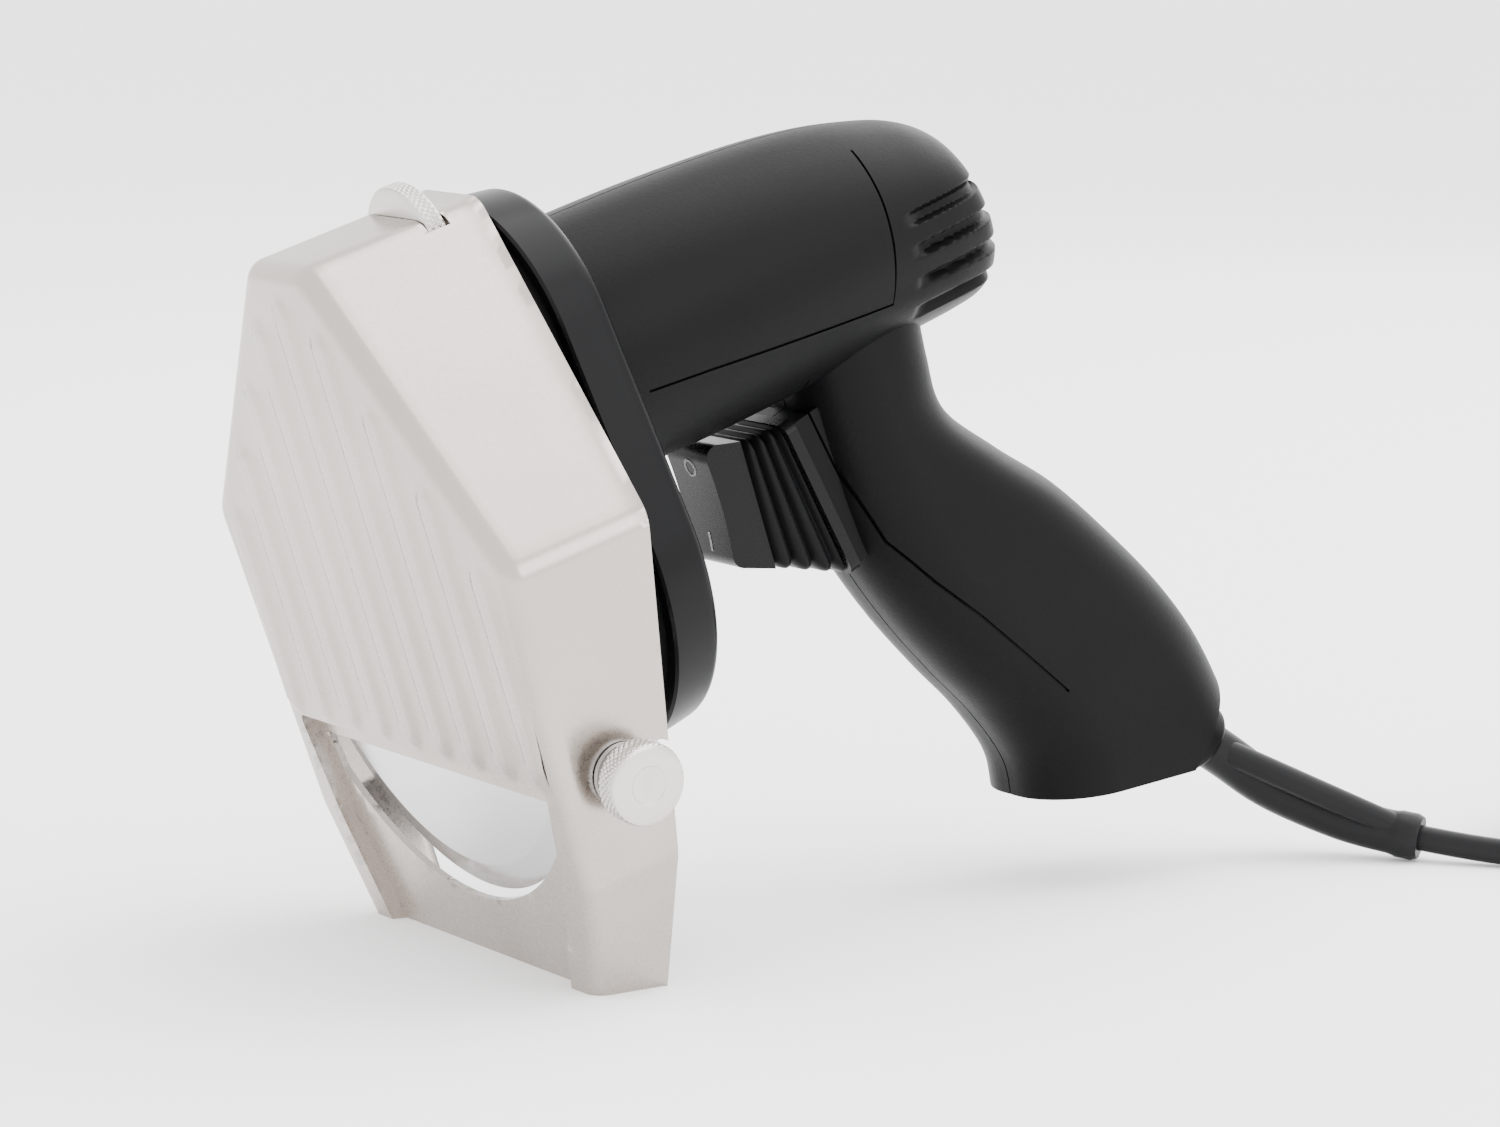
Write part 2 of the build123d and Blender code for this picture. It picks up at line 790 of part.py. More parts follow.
# Motor
def build_motor_can():
    low = 0
    can = ring_y(motor_radius, motor_radius - motor_wall, low, motor_length)
    can = can + rod_y(motor_radius, low, motor_wall)
    nose_front = -housing_wall / 2
    can = can + rod_y(nose_radius, nose_front, low + motor_wall)
    can = can - rod_y(nose_radius - motor_wall, nose_front + motor_wall, low + 2 * motor_wall)
    can = can - rod_y(shaft_radius + touch_gap, nose_front - cut_over, low)
    for x in motor_screw_places():
        can = can - rod_y(boss_bore, low - cut_over, low + 2 * motor_wall, x)
    return can


def build_motor_screws():
    places = [(x, 0) for x in motor_screw_places()]
    length = housing_wall + motor_wall + touch_gap
    return pan_screws(places, -housing_wall, length)


def build_magnets():
    outer = motor_radius - motor_wall
    inner = outer - magnet_thickness
    low = motor_wall + 2 * cut_over
    ring = ring_y(outer, inner, low, low + core_length + winding_over)
    gap = Box(2 * outer, 4 * motor_length, inner)
    return ring - Rot(0, 90, 0) * gap


def core_low():
    return motor_wall + winding_over + 2 * cut_over


def slot_shapes(low, high, margin):
    bars = []
    for index in range(slot_count):
        bar = prism_y(Pos(core_radius - slot_depth / 2 - magnet_thickness / 3, 0)
                      * Rectangle(slot_depth - 2 * margin, slot_width - 2 * margin), low, high)
        bars.append(Rot(0, 360 * index / slot_count, 0) * bar)
    return bars


def build_core():
    low = core_low()
    core = ring_y(core_radius, shaft_radius, low, low + core_length)
    for bar in slot_shapes(low - cut_over, low + core_length + cut_over, 0):
        core = core - bar
    for index in range(slot_count):
        mouth = prism_y(Pos(core_radius, 0) * Rectangle(magnet_thickness, slot_width / 2),
                        low - cut_over, low + core_length + cut_over)
        core = core - Rot(0, 360 * index / slot_count, 0) * mouth
    return core


def build_windings():
    low = core_low()
    margin = run_gap * 2
    inner = core_radius - magnet_thickness / 3 - slot_depth + margin + touch_gap
    outer = core_radius - magnet_thickness / 3 - margin
    coils = ring_y(outer, inner, low - winding_over, low) + ring_y(outer, inner, low + core_length,
                                                                  low + core_length + winding_rear)
    for bar in slot_shapes(low, low + core_length, margin):
        coils = coils + bar
    return coils


def commutator_low():
    return core_low() + core_length + winding_rear + touch_gap


def build_commutator():
    low = commutator_low()
    body = ring_y(commutator_radius, shaft_radius, low, low + commutator_length)
    for index in range(2 * slot_count):
        cut = prism_y(Pos(commutator_radius, 0) * Rectangle(cut_over, touch_gap), low + cut_over,
                      low + commutator_length + cut_over)
        body = body - Rot(0, 180 * index / slot_count, 0) * cut
    return body


def end_cap_low():
    return motor_length


def fan_low():
    return end_cap_low() + housing_wall + motor_bush + cut_over


def build_shaft():
    return rod_y(shaft_radius, gear_front - touch_gap, fan_low() + fan_width)


def build_pinion():
    teeth = prism_y(gear_outline(pinion_teeth, 90 + 180 / pinion_teeth), gear_front, gear_back)
    return teeth - rod_y(shaft_radius, gear_front - cut_over, gear_back + cut_over)


def build_fan():
    low = fan_low()
    hub = ring_y(commutator_radius, shaft_radius, low, low + fan_width)
    fan = hub + ring_y(fan_radius, shaft_radius, low, low + fan_disc)
    for index in range(fan_blades):
        outline = Rectangle(fan_radius - commutator_radius + fan_disc / 2, fan_disc)
        vane = prism_y(Pos((fan_radius + commutator_radius) / 2, 0) * outline, low, low + fan_width)
        fan = fan + Rot(0, 360 * index / fan_blades, 0) * vane
    rim = rod_y(fan_radius, low - cut_over, low + fan_width + cut_over)
    return fan & rim


def build_end_cap():
    low = end_cap_low()
    cap = rod_y(motor_radius, low, low + housing_wall)
    lip = motor_radius - motor_wall - run_gap
    cap = cap + ring_y(lip, lip - motor_wall, low - 2 * cut_over, low)
    cap = cap + rod_y(nose_radius, low, low + housing_wall + motor_bush)
    cap = cap - rod_y(commutator_radius - motor_wall, low - motor_bush, low + 2 * housing_wall + motor_bush)
    vent = rod_y(cap_vent_radius, low - motor_bush, low + 2 * housing_wall, (nose_radius + lip) / 2)
    for index in range(cap_vents):
        cap = cap - Rot(0, 360 * (index + 1 / 2) / cap_vents, 0) * vent
    return cap


def build_rear_bush():
    low = end_cap_low() + touch_gap
    return ring_y(commutator_radius - motor_wall, shaft_radius + run_gap, low, low + housing_wall + motor_bush
                  - 2 * touch_gap)


def build_front_bearing():
    low = -housing_wall / 2 + motor_wall
    return ball_bearing(nose_radius - motor_wall, shaft_radius + run_gap, low, motor_bush)


def brush_low():
    return commutator_low() + (commutator_length - brush_width) / 2 + cut_over / 2


def build_brushes():
    solids = []
    for side in (-1, 1):
        start = commutator_radius + run_gap
        block = Box(brush_length, brush_width, brush_width)
        solids.append(Pos(side * (start + brush_length / 2), brush_low() + brush_width / 2, 0) * block)
    tip = rod_y(commutator_radius + run_gap, 0, 2 * motor_length)
    return Compound(children=[solid - tip for solid in solids])


def build_brush_holders():
    solids = []
    length = motor_radius - motor_wall - commutator_radius - 3 * cut_over
    for side in (-1, 1):
        middle = side * (commutator_radius + cut_over + length / 2)
        wide = brush_width + 2 * run_gap
        tube = Box(length, wide + 2 * cut_over, wide + 2 * cut_over) - Box(2 * length, wide, wide)
        low = brush_low() + brush_width / 2
        foot = end_cap_low() - 2 * cut_over
        post = Pos(middle, (low + wide / 2 + cut_over + foot) / 2 + cut_over, wide / 2 + cut_over / 2) * Box(
            length / 2, foot + 2 * cut_over - low - wide / 2 - cut_over, cut_over)
        solids.append(Pos(middle, low, 0) * tube + post)
    return Compound(children=solids)


def build_brush_springs():
    solids = []
    start = commutator_radius + run_gap + brush_length
    end = motor_radius - motor_wall - 2 * cut_over
    radius = brush_width / 2 - 2 * touch_gap
    pitch = (end - start) / spring_turns
    for side in (-1, 1):
        coil = Helix(pitch, end - start - touch_gap, radius - touch_gap)
        profile = Plane(coil @ 0, z_dir=coil % 0) * Circle(touch_gap)
        wire = sweep(profile, path=coil)
        wire = Rot(0, side * 90, 0) * wire
        solids.append(Pos(side * (start + touch_gap), brush_low() + brush_width / 2, 0) * wire)
    return Compound(children=solids)


# Body shells
def along(shares, position):
    """Value on the smooth curve through evenly numbered shares, at a position between them."""
    index = min(int(position), len(shares) - 2)
    t = position - index
    before = shares[max(index - 1, 0)]
    low = shares[index]
    high = shares[index + 1]
    after = shares[min(index + 2, len(shares) - 1)]
    bend = (2 * before - 5 * low + 4 * high - after) * t ** 2 + (3 * low - before - 3 * high + after) * t ** 3
    return low + 0.5 * ((high - before) * t + bend)


def stations(shares):
    return [step / body_steps for step in range((len(shares) - 1) * body_steps + 1)]


def barrel_form(inset):
    """Barrel as circles along Y, or its cavity, which is open at the front."""
    sections = []
    for position in stations(barrel_y_shares):
        radius = barrel_radius * along(barrel_r_shares, position) - inset
        share = along(barrel_y_shares, position)
        y = (barrel_length - inset) * share
        if inset and position == 0:
            y = -cut_over
        middle = barrel_radius * along(barrel_z_shares, position)
        sections.append(Plane.XZ.offset(-y) * Pos(0, middle) * Circle(radius))
    return loft(sections, ruled=True)


def grip_form(inset):
    """Grip as rounded sections from the barrel down, or its cavity, which runs past both ends."""
    sections = []
    count = len(stations(grip_z_shares))
    for index, position in enumerate(stations(grip_z_shares)):
        front = grip_depth * along(grip_front_shares, position) + inset
        rear = grip_depth * along(grip_rear_shares, position) - inset
        half = grip_half_width * along(grip_width_shares, position) - inset
        z = grip_length * along(grip_z_shares, position)
        if inset and index == 0:
            z = z + cut_over
        if inset and index == count - 1:
            z = z - cut_over
        outline = RectangleRounded(2 * half, rear - front, half * grip_corner_share)
        sections.append(Plane.XY.offset(z) * Pos(0, (front + rear) / 2) * outline)
    return loft(sections, ruled=True)


def base_cutter(inset):
    """Everything under the grip's sloping bottom face."""
    slope = math.degrees(math.atan2(heel_z - toe_z, heel_y - toe_y))
    size = 4 * grip_length
    block = Pos(0, 0, -size / 2 + inset) * Box(size, size, size)
    return Pos(0, toe_y, toe_z) * Rot(slope, 0, 0) * block


def exit_location(forward):
    """Point on the cord's exit axis, local Z along that axis."""
    angle = math.radians(exit_angle)
    dy = math.cos(angle)
    dz = -math.sin(angle)
    origin = (0, exit_y + forward * dy, exit_z + forward * dz)
    plane = Plane(origin=origin, x_dir=(1, 0, 0), z_dir=(0, dy, dz))
    return plane.location


def exit_cutter(inset):
    size = 4 * collar_radius
    return exit_location(size / 2 - inset) * Box(size, size, size)


def body_form(inset):
    grip = grip_form(inset) - base_cutter(inset) - exit_cutter(inset)
    barrel = barrel_form(inset)
    return barrel + grip


def switch_location():
    return Pos(0, switch_y, switch_z) * Rot(switch_lean, 0, 0)


def boss_places():
    return [(grip_depth * y, grip_length * z) for y, z in boss_places_shares]


def board_location():
    return Pos(board_x, board_y, board_z) * Rot(board_lean, 0, 0)


def board_pad(height):
    """Post of the left half that carries the circuit board."""
    length = 2 * grip_half_width
    start = -board_thickness / 2 - length / 2
    return board_location() * Pos(start, 0, height) * Rot(0, 90, 0) * Cylinder(pad_radius, length)


def clamp_location():
    return exit_location(-socket_depth - cord_clamp_height)


def clamp_saddle():
    """Ledge under the cord in the left half, with a post on each side for the clamp's screws."""
    ledge = Box(barrel_radius, cord_clamp_width, cord_clamp_height)
    ledge = Pos(-cable_radius - barrel_radius / 2, 0, 0) * ledge
    for side in (-1, 1):
        post = Box(2 * cable_radius, clamp_post, cord_clamp_height)
        ledge = ledge + Pos(0, side * (cord_clamp_width - clamp_post) / 2, 0) * post
        ledge = ledge - clamp_bore(side, boss_bore, 2 * clamp_post)
    return clamp_location() * ledge


def clamp_bore(side, radius, depth):
    """Bar along X through a clamp post, from the plate's outer face down."""
    top = cable_radius + clamp_plate
    bar = Rot(0, 90, 0) * Cylinder(radius, depth + clamp_plate)
    return Pos(top - (depth + clamp_plate) / 2, side * (cord_clamp_width - clamp_post) / 2, 0) * bar


def build_housing():
    outer = body_form(0)
    inner = body_form(grip_wall)
    shell = outer - inner
    for y, z in boss_places():
        post = rod_x(boss_radius, -barrel_radius, barrel_radius, y, z)
        shell = shell + (post & outer)
    block = Box(bezel_width - 2 * cut_over, seat_depth, bezel_height - 2 * cut_over)
    seat = Pos(0, seat_depth / 2, 0) * block
    shell = shell + switch_location() * seat
    hole_depth = switch_depth + 2 * seat_depth
    hole = Box(switch_width + 2 * slide_gap, hole_depth, switch_height + 2 * slide_gap)
    shell = shell - switch_location() * Pos(0, switch_depth + slide_gap - hole_depth / 2, 0) * hole
    shell = shell - exit_location(-socket_depth / 2) * Cylinder(socket_radius, socket_depth + 4 * cut_over)
    for index in range(vent_count):
        z = vent_top - index * vent_pitch
        slot = Pos(0, barrel_length, z) * Box(2 * barrel_radius, 2 * vent_depth, vent_height)
        keep = Pos(0, barrel_length, z) * Box(barrel_radius / 3, 4 * vent_depth, 4 * vent_height)
        shell = shell - (slot - keep)
    return shell


def build_housing_half(shell, side):
    size = 4 * barrel_length
    half = shell & Pos(side * size / 2, 0, 0) * Box(size, size, size)
    if side < 0:
        inner = grip_form(grip_wall / 2)
        half = half + (clamp_saddle() & inner)
        for height in (-board_height / 4, board_height / 4):
            half = half + (board_pad(height) & inner)
    for y, z in boss_places():
        if side < 0:
            half = half - rod_x(screw_radius + slide_gap, -barrel_radius, cut_over, y, z)
            half = half - rod_x(head_radius + slide_gap, -barrel_radius, -grip_half_width / 2, y, z)
        else:
            half = half - rod_x(boss_bore, -cut_over, grip_half_width / 2, y, z)
    return half


def build_housing_screws():
    solids = []
    for y, z in boss_places():
        start = -grip_half_width / 2
        head = rod_x(head_radius, start - head_height, start, y, z)
        shank = rod_x(boss_bore, start, grip_half_width / 2 - cut_over, y, z)
        outline = Pos(y, z) * Rectangle(screw_slot_length, head_height / 3)
        slot = prism_x(outline, start - head_height - cut_over,
                       start - head_height / 2)
        solids.append(head + shank - slot)
    return Compound(children=solids)


# Switch
def build_bezel():
    frame = Box(bezel_width, bezel_thickness, bezel_height)
    frame = fillet(frame.edges().filter_by(Axis.Y), bezel_thickness)
    hole = Box(switch_width + 2 * slide_gap, 2 * bezel_thickness, switch_height + 2 * slide_gap)
    return switch_location() * Pos(0, -bezel_thickness / 2, 0) * (frame - hole)


def build_switch_body():
    """Body behind the bezel, with two ears that carry the rocker's trunnions."""
    block = Box(switch_width, switch_depth + bezel_thickness, switch_height)
    block = switch_location() * Pos(0, (switch_depth - bezel_thickness) / 2, 0) * block
    inner = stem_width / 2 + slide_gap
    rear = switch_location().position.Y
    ears = Polygon((hinge_y, hinge_z + ear_height / 2), (rear, hinge_z + ear_height),
                   (rear, hinge_z - ear_height), (hinge_y, hinge_z - ear_height / 2), align=None)
    ears = ears + Pos(hinge_y, hinge_z) * Circle(ear_height / 2)
    for side in (-1, 1):
        low = min(side * inner, side * (inner + ear_wall))
        block = block + prism_x(ears, low, low + ear_wall)
    return block - rod_x(trunnion_radius + run_gap, -switch_width, switch_width, hinge_y, hinge_z)


def build_terminals():
    solids = []
    for row in (-1, 0, 1):
        blade = Box(switch_width / 3, terminal_length, terminal_thickness)
        place = Pos(0, switch_depth + terminal_length / 2, row * switch_height / 3)
        solids.append(switch_location() * place * blade)
    return Compound(children=solids)


def boot_corners(share, over):
    """Upper and lower corner of the boot's section, from the rocker at 0 to the bezel at 1."""
    top_place = switch_location() * Pos(0, -bezel_thickness, bezel_height / 2 - fold_over)
    low_place = switch_location() * Pos(0, -bezel_thickness, -bezel_height / 2 + fold_over)
    rear_top = top_place.position
    rear_low = low_place.position
    front_top = (rocker_rear + run_gap, rocker_rear_top - fold_over)
    front_low = (rocker_rear + run_gap, rocker_rear_low + fold_over)
    top = between(front_top, (rear_top.Y, rear_top.Z), share)
    low = between(front_low, (rear_low.Y, rear_low.Z), share)
    return (top[0], top[1] + over), (low[0], low[1] - over)


def boot_section(low_share, high_share, over):
    front_top, front_low = boot_corners(low_share, over)
    rear_top, rear_low = boot_corners(high_share, over)
    return Polygon(front_top, rear_top, rear_low, front_low, align=None)


def build_boot():
    """Rubber folds that fan out between the rocker and the bezel, hollow inside."""
    half = fold_width / 2 - fold_over
    solid = prism_x(boot_section(0, 1, 0), -half, half)
    span = 1 / (fold_count + 0.5)
    for index in range(fold_count):
        start = index * span
        fold = prism_x(boot_section(start, start + span / 2, fold_over), -fold_width / 2, fold_width / 2)
        solid = solid + fillet(fold.edges().group_by(SortBy.LENGTH)[0], fold_thickness / 4)
    hollow = prism_x(boot_section(-boot_through_share, 1 + boot_through_share, -fold_wall),
                     -half + fold_wall, half - fold_wall)
    return solid - hollow


def build_rocker():
    """Dished key with a stem whose trunnions turn in the switch body's ears."""
    middle = (rocker_top + rocker_low) / 2
    face = Polyline((rocker_rear, rocker_rear_low), (rocker_front, rocker_low))
    low = (rocker_front, rocker_low)
    top = (rocker_front, rocker_top)
    dish = ThreePointArc(low, (rocker_front + rocker_dish, middle), top)
    back = Polyline(top, (rocker_rear, rocker_rear_top), (rocker_rear, rocker_rear_low))
    key = prism_x(make_face(face.edges() + dish.edges() + back.edges()), -rocker_width / 2, rocker_width / 2)
    sides = [edge for edge in key.edges().filter_by(Axis.X) if edge.center().Y < rocker_front + cut_over]
    key = fillet(sides, rocker_round)
    stem = Pos(0, (rocker_rear + hinge_y) / 2, hinge_z) * Box(stem_width, hinge_y - rocker_rear, stem_height)
    eye = rod_x(stem_height / 2, -stem_width / 2, stem_width / 2, hinge_y, hinge_z)
    reach = stem_width / 2 + slide_gap + trunnion_reach
    return key + stem + eye + rod_x(trunnion_radius, -reach, reach, hinge_y, hinge_z)


# Electrics
def build_board():
    plate = Box(board_thickness, board_depth, board_height)
    return board_location() * plate


def build_capacitor():
    block = Box(capacitor_size / 2, capacitor_size, capacitor_size)
    offset_x = board_thickness / 2 + capacitor_size / 4
    return board_location() * Pos(offset_x, 0, board_height / 5) * block


def build_rectifier():
    block = Box(capacitor_size / 3, capacitor_size, rectifier_height)
    offset_x = board_thickness / 2 + capacitor_size / 6
    return board_location() * Pos(offset_x, 0, -board_height / 4) * block


def build_wires():
    """Insulated leads, cut where they meet the board, the capacitor and the motor's end cap."""
    blocks = [build_board(), build_capacitor(), build_end_cap()]
    return Compound(children=[swept(route, wire_radius) - blocks for route in lead_routes])


def build_cord_clamp():
    plate = Pos(cable_radius + clamp_plate / 2, 0, 0) * Box(clamp_plate, cord_clamp_width, cord_clamp_height)
    for side in (-1, 1):
        plate = plate - clamp_bore(side, boss_bore, clamp_plate)
    return clamp_location() * plate


def build_clamp_screws():
    solids = []
    for side in (-1, 1):
        shank = clamp_bore(side, boss_bore, 2 * clamp_post)
        offset = side * (cord_clamp_width - clamp_post) / 2
        place = Pos(cable_radius + clamp_plate + head_height / 2, offset, 0)
        head = place * Rot(0, 90, 0) * Cylinder(clamp_post / 2, head_height)
        solids.append(clamp_location() * (shank + head))
    return Compound(children=solids)


# Cord parts that belong to the tool
def build_collar():
    ring = Pos(0, 0, collar_length / 2) * Cone(collar_radius, collar_end_radius, collar_length)
    ring = fillet(ring.edges().group_by(Axis.Z)[-1], collar_round)
    stem = Pos(0, 0, -socket_depth / 2) * Cylinder(socket_radius, socket_depth)
    bore = Cylinder(cable_radius + run_gap, 8 * socket_depth)
    return exit_location(0) * (ring + stem - bore)


def build_cord_lead():
    """End of the cord from inside the grip to the collar's mouth."""
    reach = socket_depth + 2 * cord_clamp_height
    stub = Pos(0, 0, (collar_length - reach) / 2) * Cylinder(cable_radius, collar_length + reach)
    return exit_location(0) * stub


def stand(shape):
    """From the tool frame to the standing frame, floor at zero height."""
    return Pos(0, 0, floor_drop) * Rot(rest_pitch, 0, 0) * shape


def sleeve_points():
    start = stand(exit_location(collar_length)).position
    ahead = stand(exit_location(collar_length + sleeve_run)).position
    return [tuple(start), tuple(ahead)] + sleeve_route


def build_sleeve():
    return tube("cord_sleeve", sleeve_points(), sleeve_radius)


def build_coil():
    half = coil_columns * cable_radius
    height = 2 * coil_layers * cable_radius
    ring = Cylinder(coil_mid_radius + half, height) - Cylinder(coil_mid_radius - half, 2 * height)
    return Pos(coil_place[0], coil_place[1], height / 2) * ring


def build_cord(coil):
    return tube("power_cord", cord_route, cable_radius) - coil


def build_tail(coil):
    return tube("cord_tail", tail_route, cable_radius) - coil


def build_tie():
    """Strap over the top and both sides of the coil, open at the floor."""
    width = 2 * (coil_columns * cable_radius + touch_gap)
    height = 2 * coil_layers * cable_radius
    band = Pos(0, 0, touch_gap / 2) * Box(width + 2 * touch_gap, 2 * cable_radius, height + touch_gap)
    inner = Box(width, 4 * cable_radius, height)
    return Pos(coil_place[0] - coil_mid_radius, coil_place[1], height / 2) * (band - inner)


def plug_location():
    end = Vector(*tail_route[-1])
    back = end - Vector(*tail_route[-2])
    heading = math.degrees(math.atan2(back.X, back.Y))
    return Pos(end.X, end.Y, plug_height / 2) * Rot(0, 0, -heading)


def build_plug():
    body = Pos(0, plug_neck + plug_length / 2, 0) * Box(plug_width, plug_length, plug_height)
    body = fillet(body.edges().filter_by(Axis.Y), plug_height / 3)
    neck = Plane.XZ.offset(0) * Circle(plug_mouth_radius)
    waist = Plane.XZ.offset(-plug_neck) * Ellipse(plug_width / 3, plug_height / 3)
    return plug_location() * (body + loft([neck, waist]))


def build_pins():
    solids = []
    for side in (-1, 1):
        start = plug_neck + plug_length
        place = Pos(side * pin_spacing / 2, start + pin_length / 2, 0)
        pin = place * Rot(90, 0, 0) * Cylinder(pin_radius, pin_length)
        pin = fillet(pin.edges().sort_by(Axis.Y)[-1], pin_radius / 2)
        solids.append(plug_location() * pin)
    return Compound(children=solids)


def tool_nodes():
    shell = build_housing()
    return {
        "housing_left": build_housing_half(shell, -1),
        "housing_right": build_housing_half(shell, 1),
        "housing_screws": build_housing_screws(),
        "gear_housing": build_gear_housing(),
        "gear_cover": build_gear_cover(),
        "cover_screws": build_cover_screws(),
        "adjuster_stud": build_stud(),
        "drive_gear": build_drive_gear(),
        "gear_key": build_gear_key(),
        "blade_spindle": build_spindle(),
        "blade": build_blade(),
        "blade_clamp_disc": build_clamp_disc(),
        "blade_screw": build_blade_screw(),
        "spindle_bearing": build_spindle_bearing(),
        "spindle_bush": build_spindle_bush(),
        "spindle_seal": build_spindle_seal(),
        "blade_guard": build_guard(),
        "thickness_wheel": build_wheel(),
        "guard_bracket": build_bracket(),
        "bracket_screws": build_bracket_screws(),
        "bracket_nuts": build_nuts(),
        "lock_washer_right": build_washer(1),
        "lock_washer_left": build_washer(-1),
        "lock_knob_right": build_knob(1),
        "lock_knob_left": build_knob(-1),
        "motor_can": build_motor_can(),
        "motor_screws": build_motor_screws(),
        "motor_magnets": build_magnets(),
        "armature_core": build_core(),
        "armature_windings": build_windings(),
        "commutator": build_commutator(),
        "motor_shaft": build_shaft(),
        "motor_pinion": build_pinion(),
        "cooling_fan": build_fan(),
        "motor_end_cap": build_end_cap(),
        "motor_rear_bush": build_rear_bush(),
        "motor_front_bearing": build_front_bearing(),
        "carbon_brushes": build_brushes(),
        "brush_holders": build_brush_holders(),
        "brush_springs": build_brush_springs(),
        "switch_bezel": build_bezel(),
        "switch_body": build_switch_body(),
        "switch_terminals": build_terminals(),
        "switch_boot": build_boot(),
        "switch_rocker": build_rocker(),
        "circuit_board": build_board(),
        "capacitor": build_capacitor(),
        "bridge_rectifier": build_rectifier(),
        "lead_wires": build_wires(),
        "cord_clamp": build_cord_clamp(),
        "clamp_screws": build_clamp_screws(),
        "cord_collar": build_collar(),
        "cord_lead": build_cord_lead(),
    }


def standing_nodes():
    """Every node in the standing frame, the floor at zero height."""
    nodes = {name: stand(shape) for name, shape in tool_nodes().items()}
    nodes["cord_sleeve"] = build_sleeve()
    return nodes


def cord_nodes():
    coil = build_coil()
    return {
        "power_cord": build_cord(coil),
        "cord_coil": coil,
        "cord_tail": build_tail(coil),
        "cord_tie": build_tie(),
        "plug_body": build_plug(),
        "plug_pins": build_pins(),
    }


def main():
    os.makedirs("parts", exist_ok=True)
    nodes = standing_nodes()
    box = Compound(children=[shape.moved(Location()) for shape in nodes.values()]).bounding_box()
    nodes.update(cord_nodes())
    shift = Pos(0, -(box.min.Y + box.max.Y) / 2, 0)
    print("origin shift", shift.position, "box", box.min, box.max)
    for name, shape in nodes.items():
        export_step(shift * shape, f"parts/{name}.step")


if __name__ == "__main__":
    main()
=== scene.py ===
import logging
import math
from collections.abc import Callable, Sequence
from dataclasses import dataclass
from enum import Enum

import bmesh
import bpy
import numpy as np
from mathutils import Matrix, Vector
from mathutils.geometry import delaunay_2d_cdt


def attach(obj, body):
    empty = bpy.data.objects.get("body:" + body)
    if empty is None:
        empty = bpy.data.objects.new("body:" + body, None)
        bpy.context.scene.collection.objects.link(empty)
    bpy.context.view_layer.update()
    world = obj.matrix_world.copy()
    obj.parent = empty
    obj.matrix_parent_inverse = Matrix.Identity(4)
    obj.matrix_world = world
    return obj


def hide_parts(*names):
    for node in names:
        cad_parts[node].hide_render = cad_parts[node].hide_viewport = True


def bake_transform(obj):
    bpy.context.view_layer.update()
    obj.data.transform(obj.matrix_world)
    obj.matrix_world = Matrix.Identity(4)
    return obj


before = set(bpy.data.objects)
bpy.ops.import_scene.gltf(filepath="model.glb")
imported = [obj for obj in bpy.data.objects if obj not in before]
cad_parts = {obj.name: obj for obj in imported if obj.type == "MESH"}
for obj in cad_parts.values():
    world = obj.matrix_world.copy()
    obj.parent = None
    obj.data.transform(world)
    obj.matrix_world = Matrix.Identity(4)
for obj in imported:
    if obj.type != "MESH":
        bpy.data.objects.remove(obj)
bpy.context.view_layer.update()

log = logging.getLogger("slicer")

Point = tuple[float, float, float]
Flat = tuple[float, float]

# Sizes are in millimetres and angles in degrees until a mesh is placed, in metres, in the standing frame.
MM = 0.001
REST_PITCH = 17.87
FLOOR_DROP = 106.0
ORIGIN_SHIFT = -63.3802
# Free room between a panel's edge and the points inside it.
EDGE_ROOM = 0.7
# Distance under which two points of a panel are one, and the least rise of an edge that is divided by.
PANEL_MERGE = 1e-5
LEAST_RISE = 1e-12
# Octaves of noise in a finish, in its grain and in its patches.
FINE_DETAIL = 2.0
BROAD_DETAIL = 3.0
# Steps round the quarter of a rounded edge.
ROUND_STEPS = 8
QUARTER = math.pi / 2
FULL_TURN = 2 * math.pi
STAND = Matrix.Scale(MM, 4) @ Matrix.Translation((0.0, ORIGIN_SHIFT, 0.0))
TOOL = STAND @ Matrix.Translation((0.0, 0.0, FLOOR_DROP)) @ Matrix.Rotation(math.radians(REST_PITCH), 4, "X")
SIDEWAYS = Matrix.Rotation(QUARTER, 4, "X")


class Body(Enum):
    """Bodies of the moving frame that the pieces ride on."""

    HOUSING = "housing"
    GUARD = "guard"
    WHEEL = "thickness_wheel"
    ROCKER = "rocker"
    KNOB_RIGHT = "lock_knob_right"
    KNOB_LEFT = "lock_knob_left"


class Side(Enum):
    """Right and left side of the tool, as the sign of X."""

    RIGHT = 1
    LEFT = -1


def linear(code: str) -> tuple[float, float, float, float]:
    """Turn an sRGB hex colour into linear light.

    Args:
        code: Six hex digits, with or without a leading hash.

    Returns:
        Red, green, blue and an alpha of one.
    """
    digits = code.lstrip("#")
    values = [int(digits[start:start + 2], 16) / 255 for start in (0, 2, 4)]
    light = [v / 12.92 if v <= 0.04045 else ((v + 0.055) / 1.055) ** 2.4 for v in values]
    return (*light, 1.0)


def add_node(tree: bpy.types.NodeTree, kind: str, inputs: dict | None = None,
             **settings: object) -> bpy.types.Node:
    """Add one node with its settings, its input values and the links into it.

    Args:
        tree: Material or geometry tree.
        kind: Node type.
        inputs: Values or output sockets, by the name or index of the input.
        **settings: Attributes of the node.

    Returns:
        The new node.
    """
    node = tree.nodes.new(kind)
    for name, value in settings.items():
        setattr(node, name, value)
    for name, value in (inputs or {}).items():
        if isinstance(value, bpy.types.NodeSocket):
            tree.links.new(value, node.inputs[name])
        else:
            node.inputs[name].default_value = value
    return node


